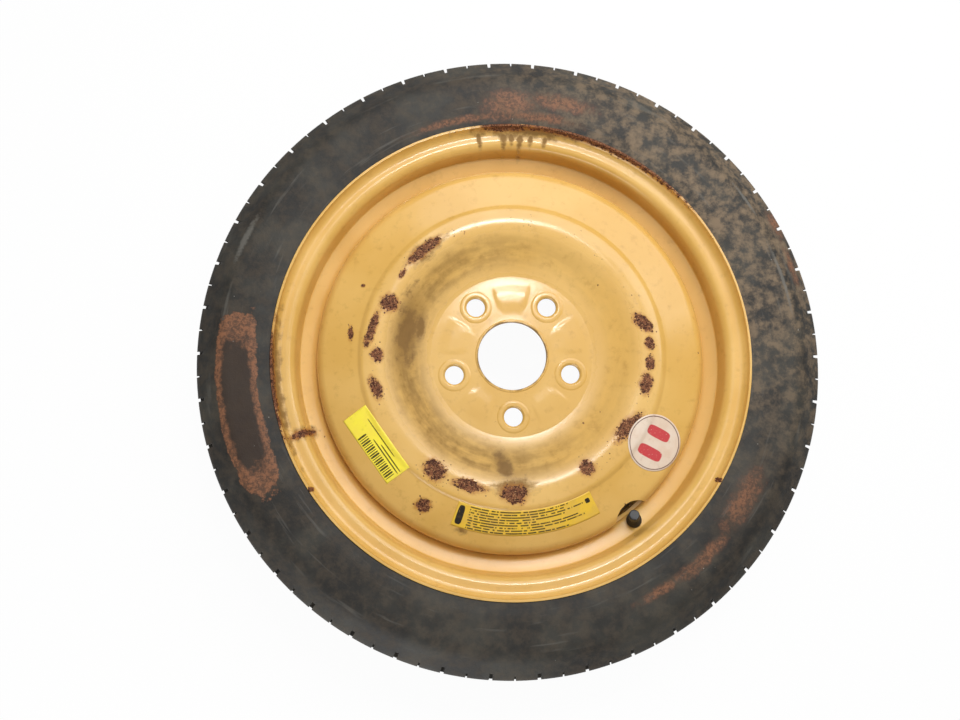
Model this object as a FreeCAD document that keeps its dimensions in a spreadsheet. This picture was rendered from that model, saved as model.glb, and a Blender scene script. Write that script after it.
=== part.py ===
"""Temporary spare wheel: a narrow tyre on a pressed steel wheel with a snap-in valve.

The wheel lies on its inboard side. +Z is the wheel's axis, towards the outboard face,
and the origin is on the axis at floor level. Sizes are in millimetres and degrees.
"""
import FreeCAD, Part
import os
import re

import Sketcher

Vector = FreeCAD.Vector
FULL_TURN = "360"
ON_AXIS = 1e-9

# Driving dimensions. Angles are seen from outboard, counter-clockwise from +X.
SIZES = {
    # Tyre
    "tyre_width": 130.0,
    "tyre_radius": 293.0,
    "crown_flat": 44.0,
    "tread_width": 98.0,
    "shoulder_drop": 4.0,
    "sidewall_top_radius": 266.0,
    "sidewall_low_radius": 236.0,
    "sidewall_bevel": 8.0,
    "sidewall_wall": 6.5,
    "tread_wall": 10.5,
    "bead_foot": 15.0,
    "bead_apex_radius": 236.0,
    "bead_apex_wall": 8.0,
    "bead_gap": 0.3,
    "groove_width": 6.0,
    "groove_depth": 3.5,
    "groove_pitch": 24.0,
    "notch_count": 42,
    "notch_width": 4.5,
    "notch_depth": 4.8,
    "notch_length": 12.0,
    # Rim
    "bead_seat_radius": 202.8,
    "rim_width": 101.6,
    "flange_radius": 220.1,
    "lip_reach": 11.2,
    "rim_wall": 2.2,
    "curl_bevel": 6.0,
    "seat_length": 21.5,
    "seat_taper": 5.0,
    "well_radius": 184.9,
    "well_slope": 20.0,
    "well_length": 34.0,
    # Disc
    "wheel_offset": 40.0,
    "disc_wall": 3.2,
    "disc_fit": 0.05,
    "bore_radius": 32.05,
    "bore_lip_width": 2.6,
    "bore_lip_rise": 1.2,
    "pad_radius": 76.0,
    "crown_radius": 124.0,
    "crown_rise": 14.3,
    "crown_bevel": 5.0,
    "ring_radius": 138.6,
    "ring_rise": 11.4,
    "disc_edge_drop": 0.7,
    "disc_edge_bevel": 3.6,
    "skirt_length": 30.0,
    # Lug stations
    "lug_count": 5,
    "lug_circle_radius": 57.15,
    "lug_start_angle": 54.7,
    "lug_hole_radius": 7.75,
    "lug_seat_radius": 12.0,
    "lug_seat_angle": 90.0,
    "lug_boss_radius": 15.0,
    "lug_boss_rise": 1.6,
    "rib_inner_radius": 47.5,
    "rib_outer_radius": 65.5,
    "rib_half_angle": 15.0,
    "rib_bevel": 3.5,
    "rib_rise": 1.7,
    # Valve notch in the disc's edge
    "notch_radius": 20.0,
    "notch_centre_radius": 191.3,
    "notch_floor_gap": 2.0,
    # Welds
    "weld_count": 8,
    "weld_arc": 22.0,
    "weld_leg": 4.5,
    "weld_throat": 3.4,
    # Valve, measured along its own axis from the rim's outboard surface
    "valve_angle": -53.2,
    "valve_radius": 190.4,
    "valve_hole_radius": 5.65,
    "valve_hole_reach": 8.0,
    "stem_root": 7.5,
    "stem_gap": 0.2,
    "stem_foot_radius": 5.8,
    "stem_base_radius": 7.3,
    "stem_bulb_radius": 7.2,
    "stem_bulb_height": 3.6,
    "stem_neck_radius": 4.9,
    "stem_neck_height": 9.0,
    "stem_height": 12.5,
    "insert_root": 0.9,
    "insert_radius": 3.0,
    "insert_bore_radius": 2.0,
    "thread_radius": 3.85,
    "thread_top": 20.5,
    "core_thread_radius": 2.65,
    "core_thread_depth": 7.2,
    "core_seat_height": 0.9,
    "core_fit": 0.05,
    "core_head_height": 5.0,
    "core_head_drop": 0.9,
    "core_slot_width": 1.8,
    "core_slot_depth": 1.6,
    "core_gasket_height": 1.1,
    "barrel_radius": 1.75,
    "barrel_bore_radius": 1.05,
    "barrel_length": 8.0,
    "barrel_floor": 0.8,
    "pin_radius": 0.5,
    "pin_play": 0.08,
    "pin_drop": 0.3,
    "pin_collar_radius": 0.95,
    "pin_collar_height": 0.6,
    "pin_cup_radius": 1.6,
    "pin_cup_height": 0.6,
    "seal_radius": 1.65,
    "seal_height": 1.8,
    "spring_radius": 0.78,
    "spring_wire": 0.24,
    "spring_length": 5.6,
    "spring_turns": 3,
    "cap_radius": 5.0,
    "cap_play": 0.1,
    "cap_gap": 0.5,
    "cap_roof": 1.6,
    "cap_bevel": 1.0,
    "cap_seal_gap": 0.05,
    "cap_seal_radius": 3.6,
    "cap_seal_bore_radius": 1.4,
    "cap_seal_height": 1.0,
    # Labels
    "label_wall": 0.2,
    "label_glue": 0.1,
    "info_inner_radius": 142.0,
    "info_height": 22.5,
    "info_start_angle": 249.6,
    "info_arc": 49.0,
    "shop_length": 69.5,
    "shop_width": 25.0,
    "shop_centre_radius": 149.5,
    "shop_centre_angle": 213.5,
    "shop_turn": 125.8,
    "round_radius": 26.0,
    "round_centre_radius": 153.0,
    "round_centre_angle": -32.0,
}

# Places worked out from the driving dimensions
MID = "tyre_width / 2"
HALF_RIM = "rim_width / 2"
SEAT_END_RADIUS = "(bead_seat_radius - seat_length * tan(seat_taper))"
WELL_TOP = f"({MID} + {HALF_RIM} - seat_length - ({SEAT_END_RADIUS} - well_radius) * tan(well_slope))"
WELL_INNER = "(well_radius - rim_wall)"
SKIRT_RADIUS = f"({WELL_INNER} - disc_fit)"
PAD_TOP = f"({MID} + wheel_offset + disc_wall)"
EDGE_TOP = f"({PAD_TOP} - disc_edge_drop)"
SKIRT_END = f"({EDGE_TOP} - skirt_length)"
LEDGE_RISE = "(valve_radius - well_radius) * tan(well_slope)"
VALVE_SEAT_TOP = f"({WELL_TOP} + {LEDGE_RISE} + rim_wall / cos(well_slope))"
RIM_BELOW = "(stem_root - rim_wall)"
STEM_TOP = "(stem_root + stem_height)"
THREAD_END = "(stem_root + thread_top)"
CORE_FLOOR = f"({THREAD_END} - core_thread_depth)"
CORE_TOP = f"({THREAD_END} - core_head_drop)"
CORE_HEAD_LOW = f"({CORE_TOP} - core_head_height)"
BARREL_TOP = f"({CORE_HEAD_LOW} - core_fit)"
BARREL_LOW = f"({BARREL_TOP} - barrel_length)"
SEAL_TOP = f"({BARREL_LOW} - core_fit)"
SEAL_LOW = f"({SEAL_TOP} - seal_height)"
SPRING_LOW = f"({BARREL_LOW} + barrel_floor + spring_wire / 2 + core_fit)"
SPRING_TOP = f"({SPRING_LOW} + spring_length)"
COLLAR_LOW = f"({SPRING_TOP} + spring_wire / 2 + core_fit)"
CAP_LOW = f"({STEM_TOP} + cap_gap)"
CAP_SEAL_LOW = f"({THREAD_END} + cap_seal_gap)"
CAP_CEILING = f"({CAP_SEAL_LOW} + cap_seal_height)"
CAP_TOP = f"({CAP_CEILING} + cap_roof)"

doc = FreeCAD.newDocument("spare_wheel")
sheet = doc.addObject("Spreadsheet::Sheet", "sizes")
pieces = []


def fill_sheet():
    """Writes each driving dimension to a cell whose alias is its name."""
    for row, (name, value) in enumerate(SIZES.items(), start=1):
        sheet.set(f"A{row}", str(value))
        sheet.setAlias(f"A{row}", name)
    doc.recompute()


def formula(text):
    """Turns a line of size names into an expression on the sheet's cells."""
    return re.sub(r"[a-z_]+", lambda word: f"sizes.{word[0]}" if word[0] in SIZES else word[0], text)


def size(text):
    """The present value of a line of size names."""
    return float(sheet.evalExpression(formula(text)))


def bind(thing, prop, text):
    """Binds a property to the sheet."""
    thing.setExpression(prop, formula(text))


def new_body(name):
    """A body that becomes one piece of the wheel."""
    body = doc.addObject("PartDesign::Body", name)
    body.Label = name
    pieces.append(body)
    return body


def origin_feature(body, role):
    """One of the body's own origin planes or axes."""
    return next(part for part in body.Origin.OriginFeatures if part.Role == role)


def new_sketch(body, name, plane, height="0", turn="0"):
    """A sketch on one of the body's origin planes, lifted and turned in the plane's own axes."""
    sketch = body.newObject("Sketcher::SketchObject", name)
    sketch.AttachmentSupport = [(origin_feature(body, plane), "")]
    sketch.MapMode = "FlatFace"
    sketch.AttachmentOffset = FreeCAD.Placement(
        Vector(0, 0, size(height)), FreeCAD.Rotation(Vector(0, 0, 1), size(turn)))
    bind(sketch, "AttachmentOffset.Base.z", height)
    bind(sketch, "AttachmentOffset.Rotation.Angle", turn)
    return sketch


def place_rule(axis, point, value):
    """A rule that holds a point at a distance from the origin, or on the axis where that is zero."""
    if abs(value) < ON_AXIS:
        return Sketcher.Constraint("PointOnObject", *point, -2 if axis == "X" else -1)
    return Sketcher.Constraint(f"Distance{axis}", -1, 1, *point, value)


def draw_path(sketch, corners, closed=True):
    """Draws straight runs through corners, and cuts a corner off where it has a bevel.

    Each corner is (x, y) or (x, y, bevel), written as lines of size names. A bevel is the
    length that it takes from each of the two runs.
    """
    count = len(corners)
    spots = [Vector(size(corner[0]), size(corner[1]), 0) for corner in corners]
    bevels = {k: corner[2] for k, corner in enumerate(corners) if len(corner) > 2}
    entries = list(spots)
    exits = list(spots)
    for k, text in bevels.items():
        back = (spots[k - 1] - spots[k]).normalize()
        ahead = (spots[(k + 1) % count] - spots[k]).normalize()
        entries[k] = spots[k] + back * size(text)
        exits[k] = spots[k] + ahead * size(text)

    run_count = count if closed else count - 1
    runs = [
        sketch.addGeometry(Part.LineSegment(exits[k], entries[(k + 1) % count]))
        for k in range(run_count)
    ]
    rules = []
    bound = {}
    for k in range(count):
        before = runs[k - 1] if closed or k > 0 else None
        after = runs[k] if k < run_count else None
        if k in bevels:
            cut = sketch.addGeometry(Part.LineSegment(entries[k], exits[k]))
            corner = sketch.addGeometry(Part.Point(spots[k]), True)
            rules.append(Sketcher.Constraint("Coincident", before, 2, cut, 1))
            rules.append(Sketcher.Constraint("Coincident", cut, 2, after, 1))
            rules.append(Sketcher.Constraint("PointOnObject", corner, 1, before))
            rules.append(Sketcher.Constraint("PointOnObject", corner, 1, after))
            for end in (1, 2):
                bound[len(rules)] = bevels[k]
                rules.append(Sketcher.Constraint("Distance", corner, 1, cut, end, size(bevels[k])))
            point = (corner, 1)
        else:
            if before is not None and after is not None:
                rules.append(Sketcher.Constraint("Coincident", before, 2, after, 1))
            point = (after, 1) if after is not None else (before, 2)
        for axis, value, text in (("X", spots[k].x, corners[k][0]), ("Y", spots[k].y, corners[k][1])):
            rule = place_rule(axis, point, value)
            if rule.Type != "PointOnObject":
                bound[len(rules)] = text
            rules.append(rule)
    numbers = sketch.addConstraint(rules)
    for index, text in bound.items():
        bind(sketch, f"Constraints[{numbers[index]}]", text)


def draw_circle(sketch, radius, centre="0"):
    """Draws a circle whose centre is on the sketch's own x axis."""
    circle = Part.Circle(Vector(size(centre), 0, 0), Vector(0, 0, 1), size(radius))
    edge = sketch.addGeometry(circle)
    number = sketch.addConstraint(Sketcher.Constraint("Radius", edge, size(radius)))
    bind(sketch, f"Constraints[{number}]", radius)
    sketch.addConstraint(Sketcher.Constraint("PointOnObject", edge, 3, -1))
    rule = place_rule("X", (edge, 3), size(centre))
    number = sketch.addConstraint(rule)
    if rule.Type != "PointOnObject":
        bind(sketch, f"Constraints[{number}]", centre)


def revolve(body, name, profile, angle=FULL_TURN):
    """Turns a profile about the body's own Z axis."""
    feature = body.newObject("PartDesign::Revolution", name)
    feature.Profile = profile
    feature.ReferenceAxis = (origin_feature(body, "Z_Axis"), [""])
    bind(feature, "Angle", angle)
    body.Tip = feature
    return feature


def turned(name, corners, angle=FULL_TURN):
    """A body turned from one closed profile of (radius, height) corners."""
    body = new_body(name)
    sketch = new_sketch(body, f"{name}_profile", "XZ_Plane")
    draw_path(sketch, corners)
    revolve(body, f"{name}_turn", sketch, angle)
    return body


def pressed(body, name, corners, wall):
    """A sheet that follows an open path of (radius, height) corners, turned about the axis."""
    sketch = new_sketch(body, f"{name}_path", "XZ_Plane")
    draw_path(sketch, corners, closed=False)
    doc.recompute()
    section = body.newObject("PartDesign::SubShapeBinder", f"{name}_section")
    section.Support = [(sketch, ("",))]
    section.OffsetFill = True
    section.OffsetOpenResult = True
    section.OffsetJoinType = 2
    bind(section, "Offset", wall)
    doc.recompute()
    return revolve(body, f"{name}_turn", section)


def pad(body, name, sketch, length):
    """Raises a sketch from its plane."""
    feature = body.newObject("PartDesign::Pad", name)
    feature.Profile = sketch
    bind(feature, "Length", length)
    body.Tip = feature
    return feature


def pocket(body, name, sketch, length=None, upward=False, midplane=False):
    """Cuts a sketch away, down from its plane unless upward, right through if it has no length."""
    feature = body.newObject("PartDesign::Pocket", name)
    feature.Profile = sketch
    feature.Reversed = upward
    feature.Midplane = midplane
    if length is None:
        feature.Type = "ThroughAll"
    else:
        bind(feature, "Length", length)
    body.Tip = feature
    return feature


def ring_of(body, name, features, count):
    """Repeats features evenly about the body's own Z axis."""
    pattern = body.newObject("PartDesign::PolarPattern", name)
    pattern.Originals = features
    pattern.Axis = (origin_feature(body, "Z_Axis"), [""])
    bind(pattern, "Angle", FULL_TURN)
    bind(pattern, "Occurrences", count)
    body.Tip = pattern
    doc.recompute()
    return pattern


def seat_on_valve_axis(thing, height):
    """Puts a thing's origin on the valve's axis, at a height above the rubber's root.

    The axis leans inwards so that it stands square to the rim's sloping ledge.
    """
    below = f"(stem_root - ({height}))"
    radius = f"(valve_radius + {below} * sin(well_slope))"
    bind(thing, "Placement.Base.x", f"{radius} * cos(valve_angle)")
    bind(thing, "Placement.Base.y", f"{radius} * sin(valve_angle)")
    bind(thing, "Placement.Base.z", f"{VALVE_SEAT_TOP} - {below} * cos(well_slope)")
    bind(thing, "Placement.Rotation.Axis.x", "sin(valve_angle)")
    bind(thing, "Placement.Rotation.Axis.y", "-cos(valve_angle)")
    bind(thing, "Placement.Rotation.Axis.z", "0")
    bind(thing, "Placement.Rotation.Angle", "well_slope")


def make_tyre():
    """The tyre: a hollow section with bead feet, tread grooves and notched shoulders."""

    def side(sign):
        """One half of the section, from the crown round the bead to the liner."""
        def across(text):
            return f"{MID} {sign} ({text})"

        foot_end = f"{HALF_RIM} - bead_foot"
        lip_end = f"{HALF_RIM} + lip_reach - 2 * bead_gap"
        outside = [
            ("tyre_radius", across("crown_flat / 2")),
            ("tyre_radius - shoulder_drop", across("tread_width / 2")),
            ("sidewall_top_radius", across(MID), "sidewall_bevel"),
            ("sidewall_low_radius", across(MID)),
            ("flange_radius + bead_gap", across(lip_end)),
            ("flange_radius + bead_gap", across(HALF_RIM), "curl_bevel"),
            ("bead_seat_radius", across(HALF_RIM)),
            ("bead_seat_radius - bead_foot * tan(seat_taper)", across(foot_end)),
        ]
        liner = [
            ("bead_apex_radius", across(f"{MID} - bead_apex_wall")),
            ("tyre_radius - tread_wall", across("tread_width / 2 - sidewall_wall")),
        ]
        return outside + liner

    body = new_body("tyre")
    sketch = new_sketch(body, "tyre_profile", "XZ_Plane")
    draw_path(sketch, side("+") + side("-")[::-1])
    carcass = revolve(body, "tyre_carcass", sketch)
    carcass.Refine = False
    doc.recompute()

    grooves = new_sketch(body, "tread_grooves", "XZ_Plane")
    for step in ("- groove_pitch", "+ 0", "+ groove_pitch"):
        low = f"{MID} {step} - groove_width / 2"
        high = f"{MID} {step} + groove_width / 2"
        inner = "tyre_radius - groove_depth"
        outer = "tyre_radius + groove_depth"
        draw_path(grooves, [(inner, low), (outer, low), (outer, high), (inner, high)])
    groove = body.newObject("PartDesign::Groove", "tread_groove_cut")
    groove.Profile = grooves
    groove.ReferenceAxis = (origin_feature(body, "Z_Axis"), [""])
    bind(groove, "Angle", FULL_TURN)
    body.Tip = groove
    doc.recompute()

    sketch = new_sketch(body, "shoulder_notch_outline", "XZ_Plane")
    for sign in ("+", "-"):
        inner = f"{MID} {sign} (tread_width / 2 - notch_length)"
        outer = f"{MID} {sign} (tread_width / 2 + notch_length)"
        floor = "tyre_radius - shoulder_drop - notch_depth"
        beyond = "tyre_radius + notch_depth"
        draw_path(sketch, [(floor, inner), (beyond, inner), (beyond, outer), (f"{floor} - notch_depth", outer)])
    cut = pocket(body, "shoulder_notch_cut", sketch, "notch_width", midplane=True)
    ring_of(body, "shoulder_notches", [cut], "notch_count")
    return body


def make_rim():
    """The rolled rim: lips, flanges, tapered bead seats and the drop well with the valve hole."""
    seat_high = f"{MID} + {HALF_RIM} - seat_length"
    seat_low = f"{MID} - {HALF_RIM} + seat_length"
    body = new_body("rim")
    pressed(body, "rim", [
        ("flange_radius", f"{MID} + {HALF_RIM} + lip_reach"),
        ("flange_radius", f"{MID} + {HALF_RIM}", "curl_bevel"),
        ("bead_seat_radius", f"{MID} + {HALF_RIM}"),
        (SEAT_END_RADIUS, seat_high),
        ("well_radius", WELL_TOP),
        ("well_radius", f"{WELL_TOP} - well_length"),
        (SEAT_END_RADIUS, seat_low),
        ("bead_seat_radius", f"{MID} - {HALF_RIM}"),
        ("flange_radius", f"{MID} - {HALF_RIM}", "curl_bevel"),
        ("flange_radius", f"{MID} - {HALF_RIM} - lip_reach"),
    ], "-rim_wall")
    hole = body.newObject("PartDesign::SubtractiveCylinder", "valve_hole")
    bind(hole, "Radius", "valve_hole_radius")
    bind(hole, "Height", "valve_hole_reach")
    seat_on_valve_axis(hole, "stem_root - valve_hole_reach / 2")
    body.Tip = hole
    return body


def disc_band_path():
    """The disc's outboard surface from the crown to the outer band, which the labels share."""
    return [
        ("crown_radius", f"{PAD_TOP} + crown_rise", "crown_bevel"),
        ("ring_radius", f"{PAD_TOP} + ring_rise"),
    ]


def make_disc():
    """The pressed disc: hub pad, bowl, crown, sloping outer band and the skirt inside the rim."""
    body = new_body("disc")
    pressed(body, "disc", [
        ("bore_radius", PAD_TOP),
        ("pad_radius", PAD_TOP),
        *disc_band_path(),
        (SKIRT_RADIUS, EDGE_TOP, "disc_edge_bevel"),
        (SKIRT_RADIUS, SKIRT_END),
    ], "-disc_wall")
    doc.recompute()

    lip = new_sketch(body, "bore_lip_rings", "XY_Plane", f"{PAD_TOP}")
    draw_circle(lip, "bore_radius")
    draw_circle(lip, "bore_radius + bore_lip_width")
    pad(body, "bore_lip", lip, "bore_lip_rise")

    boss_circle = new_sketch(body, "lug_boss_circle", "XY_Plane", PAD_TOP, "lug_start_angle")
    draw_circle(boss_circle, "lug_boss_radius", "lug_circle_radius")
    boss = pad(body, "lug_boss", boss_circle, "lug_boss_rise")
    ring_of(body, "lug_bosses", [boss], "lug_count")

    between = "lug_start_angle + 180 / lug_count"
    rib_outline = new_sketch(body, "rib_outline", "XY_Plane", PAD_TOP, between)
    draw_path(rib_outline, rib_corners())
    rib = pad(body, "rib", rib_outline, "rib_rise")
    ring_of(body, "ribs", [rib], "lug_count")
    hollow_outline = new_sketch(body, "rib_hollow_outline", "XY_Plane", f"{PAD_TOP} - disc_wall", between)
    draw_path(hollow_outline, rib_corners())
    hollow = pocket(body, "rib_hollow", hollow_outline, "rib_rise", upward=True)
    ring_of(body, "rib_hollows", [hollow], "lug_count")

    seat_top = f"{PAD_TOP} + lug_boss_rise"
    hole_circle = new_sketch(body, "lug_hole_circle", "XY_Plane", seat_top, "lug_start_angle")
    draw_circle(hole_circle, "lug_hole_radius", "lug_circle_radius")
    doc.recompute()
    hole = body.newObject("PartDesign::Hole", "lug_hole")
    hole.Profile = hole_circle
    hole.DepthType = "ThroughAll"
    bind(hole, "Diameter", "2 * lug_hole_radius")
    hole.HoleCutType = "Countersink"
    hole.HoleCutCustomValues = True
    bind(hole, "HoleCutDiameter", "2 * lug_seat_radius")
    bind(hole, "HoleCutCountersinkAngle", "lug_seat_angle")
    body.Tip = hole
    ring_of(body, "lug_holes", [hole], "lug_count")

    notch_circle = new_sketch(body, "valve_notch_circle", "XY_Plane",
                              f"{WELL_TOP} + notch_floor_gap", "valve_angle")
    draw_circle(notch_circle, "notch_radius", "notch_centre_radius")
    pocket(body, "valve_notch", notch_circle, upward=True)
    return body


def rib_corners():
    """A kidney between two lug holes, centred on the sketch's x axis."""
    near_x = "rib_inner_radius * cos(rib_half_angle)"
    near_y = "rib_inner_radius * sin(rib_half_angle)"
    far_x = "rib_outer_radius * cos(rib_half_angle)"
    far_y = "rib_outer_radius * sin(rib_half_angle)"
    return [
        (near_x, f"-{near_y}", "rib_bevel"),
        (far_x, f"-{far_y}", "rib_bevel"),
        ("rib_outer_radius", "0"),
        (far_x, far_y, "rib_bevel"),
        (near_x, near_y, "rib_bevel"),
        ("rib_inner_radius", "0"),
    ]


def make_weld_beads():
    """Short fillet welds between the end of the disc's skirt and the rim's well."""
    body = new_body("weld_beads")
    body.AllowCompound = True
    sketch = new_sketch(body, "weld_profile", "XZ_Plane")
    draw_path(sketch, [
        (WELL_INNER, SKIRT_END),
        (f"{SKIRT_RADIUS} - disc_wall", SKIRT_END),
        (f"{WELL_INNER} - weld_leg / 2", f"{SKIRT_END} - weld_throat"),
        (WELL_INNER, f"{SKIRT_END} - weld_leg"),
    ])
    bead = revolve(body, "weld_bead", sketch, "weld_arc")
    ring_of(body, "weld_ring", [bead], "weld_count")
    return body


def make_valve():
    """The snap-in valve: rubber body, brass insert, core and screw cap."""
    low = f"{RIM_BELOW} - stem_gap"
    high = "stem_root + stem_gap"
    stem = turned("valve_stem", [
        ("insert_radius", "0"),
        ("stem_foot_radius", "0"),
        ("stem_base_radius", low),
        ("valve_hole_radius", low),
        ("valve_hole_radius", high),
        ("stem_bulb_radius", high),
        ("stem_bulb_radius", "stem_root + stem_bulb_height"),
        ("stem_neck_radius", "stem_root + stem_neck_height"),
        ("stem_neck_radius", STEM_TOP),
        ("insert_radius", STEM_TOP),
    ])
    insert = turned("valve_insert", [
        ("insert_bore_radius", "insert_root"),
        ("insert_radius", "insert_root"),
        ("insert_radius", STEM_TOP),
        ("thread_radius", STEM_TOP),
        ("thread_radius", THREAD_END),
        ("core_thread_radius", THREAD_END),
        ("core_thread_radius", CORE_FLOOR),
        ("insert_bore_radius", f"{CORE_FLOOR} - core_seat_height"),
    ])
    return [stem, insert, *make_valve_core(), *make_valve_cap()]


def make_valve_core():
    """The valve core: threaded head, barrel, gasket, and the sprung pin with its seal."""
    passage = "pin_radius + pin_play"
    head = turned("valve_core_head", [
        ("pin_collar_radius", CORE_HEAD_LOW),
        ("core_thread_radius - core_fit", CORE_HEAD_LOW),
        ("core_thread_radius - core_fit", CORE_TOP),
        ("pin_collar_radius", CORE_TOP),
    ])
    slot = new_sketch(head, "core_slot_outline", "XY_Plane", CORE_TOP)
    slot_end = "core_thread_radius"
    draw_path(slot, [
        (f"-{slot_end}", "-core_slot_width / 2"),
        (slot_end, "-core_slot_width / 2"),
        (slot_end, "core_slot_width / 2"),
        (f"-{slot_end}", "core_slot_width / 2"),
    ])
    pocket(head, "core_slot", slot, "core_slot_depth")
    barrel = turned("valve_core_barrel", [
        (passage, BARREL_LOW),
        ("barrel_radius", BARREL_LOW),
        ("barrel_radius", BARREL_TOP),
        ("barrel_bore_radius", BARREL_TOP),
        ("barrel_bore_radius", f"{BARREL_LOW} + barrel_floor"),
        (passage, f"{BARREL_LOW} + barrel_floor"),
    ])
    gasket_low = f"{BARREL_TOP} - core_gasket_height"
    gasket = turned("valve_core_gasket", [
        ("barrel_radius", gasket_low),
        ("core_thread_radius - core_fit", gasket_low),
        ("core_thread_radius - core_fit", BARREL_TOP),
        ("barrel_radius", BARREL_TOP),
    ])
    pin = turned("valve_core_pin", [
        ("0", f"{SEAL_LOW} - pin_cup_height"),
        ("pin_cup_radius", f"{SEAL_LOW} - pin_cup_height"),
        ("pin_cup_radius", SEAL_LOW),
        ("pin_radius", SEAL_LOW),
        ("pin_radius", COLLAR_LOW),
        ("pin_collar_radius - pin_play", COLLAR_LOW),
        ("pin_collar_radius - pin_play", f"{COLLAR_LOW} + pin_collar_height"),
        ("pin_radius", f"{COLLAR_LOW} + pin_collar_height"),
        ("pin_radius", f"{THREAD_END} - pin_drop"),
        ("0", f"{THREAD_END} - pin_drop"),
    ])
    seal = turned("valve_core_seal", [
        ("pin_radius", SEAL_LOW),
        ("seal_radius", SEAL_LOW),
        ("seal_radius", SEAL_TOP),
        ("pin_radius", SEAL_TOP),
    ])
    return [head, barrel, gasket, pin, seal]


def make_core_spring():
    """The pin's return spring, a square wire swept along a helix."""
    helix = doc.addObject("Part::Helix", "spring_path")
    bind(helix, "Radius", "spring_radius")
    bind(helix, "Height", "spring_length")
    bind(helix, "Pitch", "spring_length / spring_turns")
    wire = doc.addObject("Part::Plane", "spring_wire_section")
    bind(wire, "Length", "spring_wire")
    bind(wire, "Width", "spring_wire")
    wire.Placement.Rotation = FreeCAD.Rotation(Vector(1, 0, 0), 90)
    bind(wire, "Placement.Base.x", "spring_radius - spring_wire / 2")
    bind(wire, "Placement.Base.z", "-spring_wire / 2")
    spring = doc.addObject("Part::Sweep", "valve_core_spring")
    spring.Label = "valve_core_spring"
    doc.recompute()
    spring.Sections = [wire]
    spring.Spine = (helix, [f"Edge{k + 1}" for k in range(len(helix.Shape.Edges))])
    spring.Solid = True
    spring.Frenet = True
    pieces.append(spring)
    return spring


def make_valve_cap():
    """The screw cap and the washer in its roof."""
    bore = "thread_radius + cap_play"
    cap = turned("valve_cap", [
        ("0", CAP_CEILING),
        (bore, CAP_CEILING),
        (bore, CAP_LOW),
        ("cap_radius", CAP_LOW),
        ("cap_radius", CAP_TOP, "cap_bevel"),
        ("0", CAP_TOP),
    ])
    seal = turned("valve_cap_seal", [
        ("cap_seal_bore_radius", CAP_SEAL_LOW),
        ("cap_seal_radius", CAP_SEAL_LOW),
        ("cap_seal_radius", CAP_CEILING),
        ("cap_seal_bore_radius", CAP_CEILING),
    ])
    return [cap, seal]


def label_skin(name, corners):
    """A thin skin on the disc's outboard surface."""
    path = doc.addObject("Sketcher::SketchObject", f"{name}_path")
    path.Placement.Rotation = FreeCAD.Rotation(Vector(1, 0, 0), 90)
    draw_path(path, corners, closed=False)
    doc.recompute()
    section = doc.addObject("Part::Offset2D", f"{name}_section")
    section.Source = path
    section.Fill = True
    section.Mode = "Skin"
    section.Join = "Intersection"
    bind(section, "Value", "label_wall")
    skin = doc.addObject("Part::Revolution", f"{name}_skin")
    skin.Source = section
    skin.Axis = Vector(0, 0, 1)
    bind(skin, "Angle", FULL_TURN)
    skin.Solid = True
    doc.recompute()
    return skin


def band_height(radius):
    """Height of the disc's sloping outer band at a radius."""
    top = f"({PAD_TOP} + ring_rise)"
    return f"{top} - ({radius} - ring_radius) * ({top} - {EDGE_TOP}) / ({SKIRT_RADIUS} - ring_radius)"


def make_labels():
    """The curved information label, the oblong shop label and the round sticker."""
    info_outer = "(info_inner_radius + info_height)"
    near = f"{band_height('info_inner_radius')} + label_glue"
    far = f"{band_height(info_outer)} + label_glue"
    info = turned("info_label", [
        ("info_inner_radius", near),
        (info_outer, far),
        (info_outer, f"{far} + label_wall"),
        ("info_inner_radius", f"{near} + label_wall"),
    ], "info_arc")
    bind(info, "Placement.Rotation.Angle", "info_start_angle")

    for name, outline in (("shop_label", shop_outline), ("round_sticker", round_outline)):
        band_end = f"({SKIRT_RADIUS} - disc_edge_bevel)"
        corners = [
            ("pad_radius", PAD_TOP),
            *disc_band_path(),
            (band_end, band_height(band_end)),
        ]
        skin = label_skin(name, [(x, f"{y} + label_glue", *bend) for x, y, *bend in corners])
        sketch = doc.addObject("Sketcher::SketchObject", f"{name}_outline")
        outline(sketch)
        cutter = doc.addObject("Part::Extrusion", f"{name}_cutter")
        cutter.Base = sketch
        cutter.DirMode = "Custom"
        cutter.Dir = Vector(0, 0, 1)
        cutter.Solid = True
        bind(cutter, "LengthFwd", "tyre_width")
        label = doc.addObject("Part::Common", name)
        label.Label = name
        label.Base = skin
        label.Tool = cutter
        label.Refine = False
        pieces.append(label)


def shop_outline(sketch):
    """An oblong, turned to lie along the band."""
    draw_path(sketch, [
        ("-shop_length / 2", "-shop_width / 2"),
        ("shop_length / 2", "-shop_width / 2"),
        ("shop_length / 2", "shop_width / 2"),
        ("-shop_length / 2", "shop_width / 2"),
    ])
    sketch.Placement.Rotation = FreeCAD.Rotation(Vector(0, 0, 1), 0)
    bind(sketch, "Placement.Rotation.Angle", "shop_turn")
    bind(sketch, "Placement.Base.x", "shop_centre_radius * cos(shop_centre_angle)")
    bind(sketch, "Placement.Base.y", "shop_centre_radius * sin(shop_centre_angle)")


def round_outline(sketch):
    """A circle on the band."""
    draw_circle(sketch, "round_radius")
    bind(sketch, "Placement.Base.x", "round_centre_radius * cos(round_centre_angle)")
    bind(sketch, "Placement.Base.y", "round_centre_radius * sin(round_centre_angle)")


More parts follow.
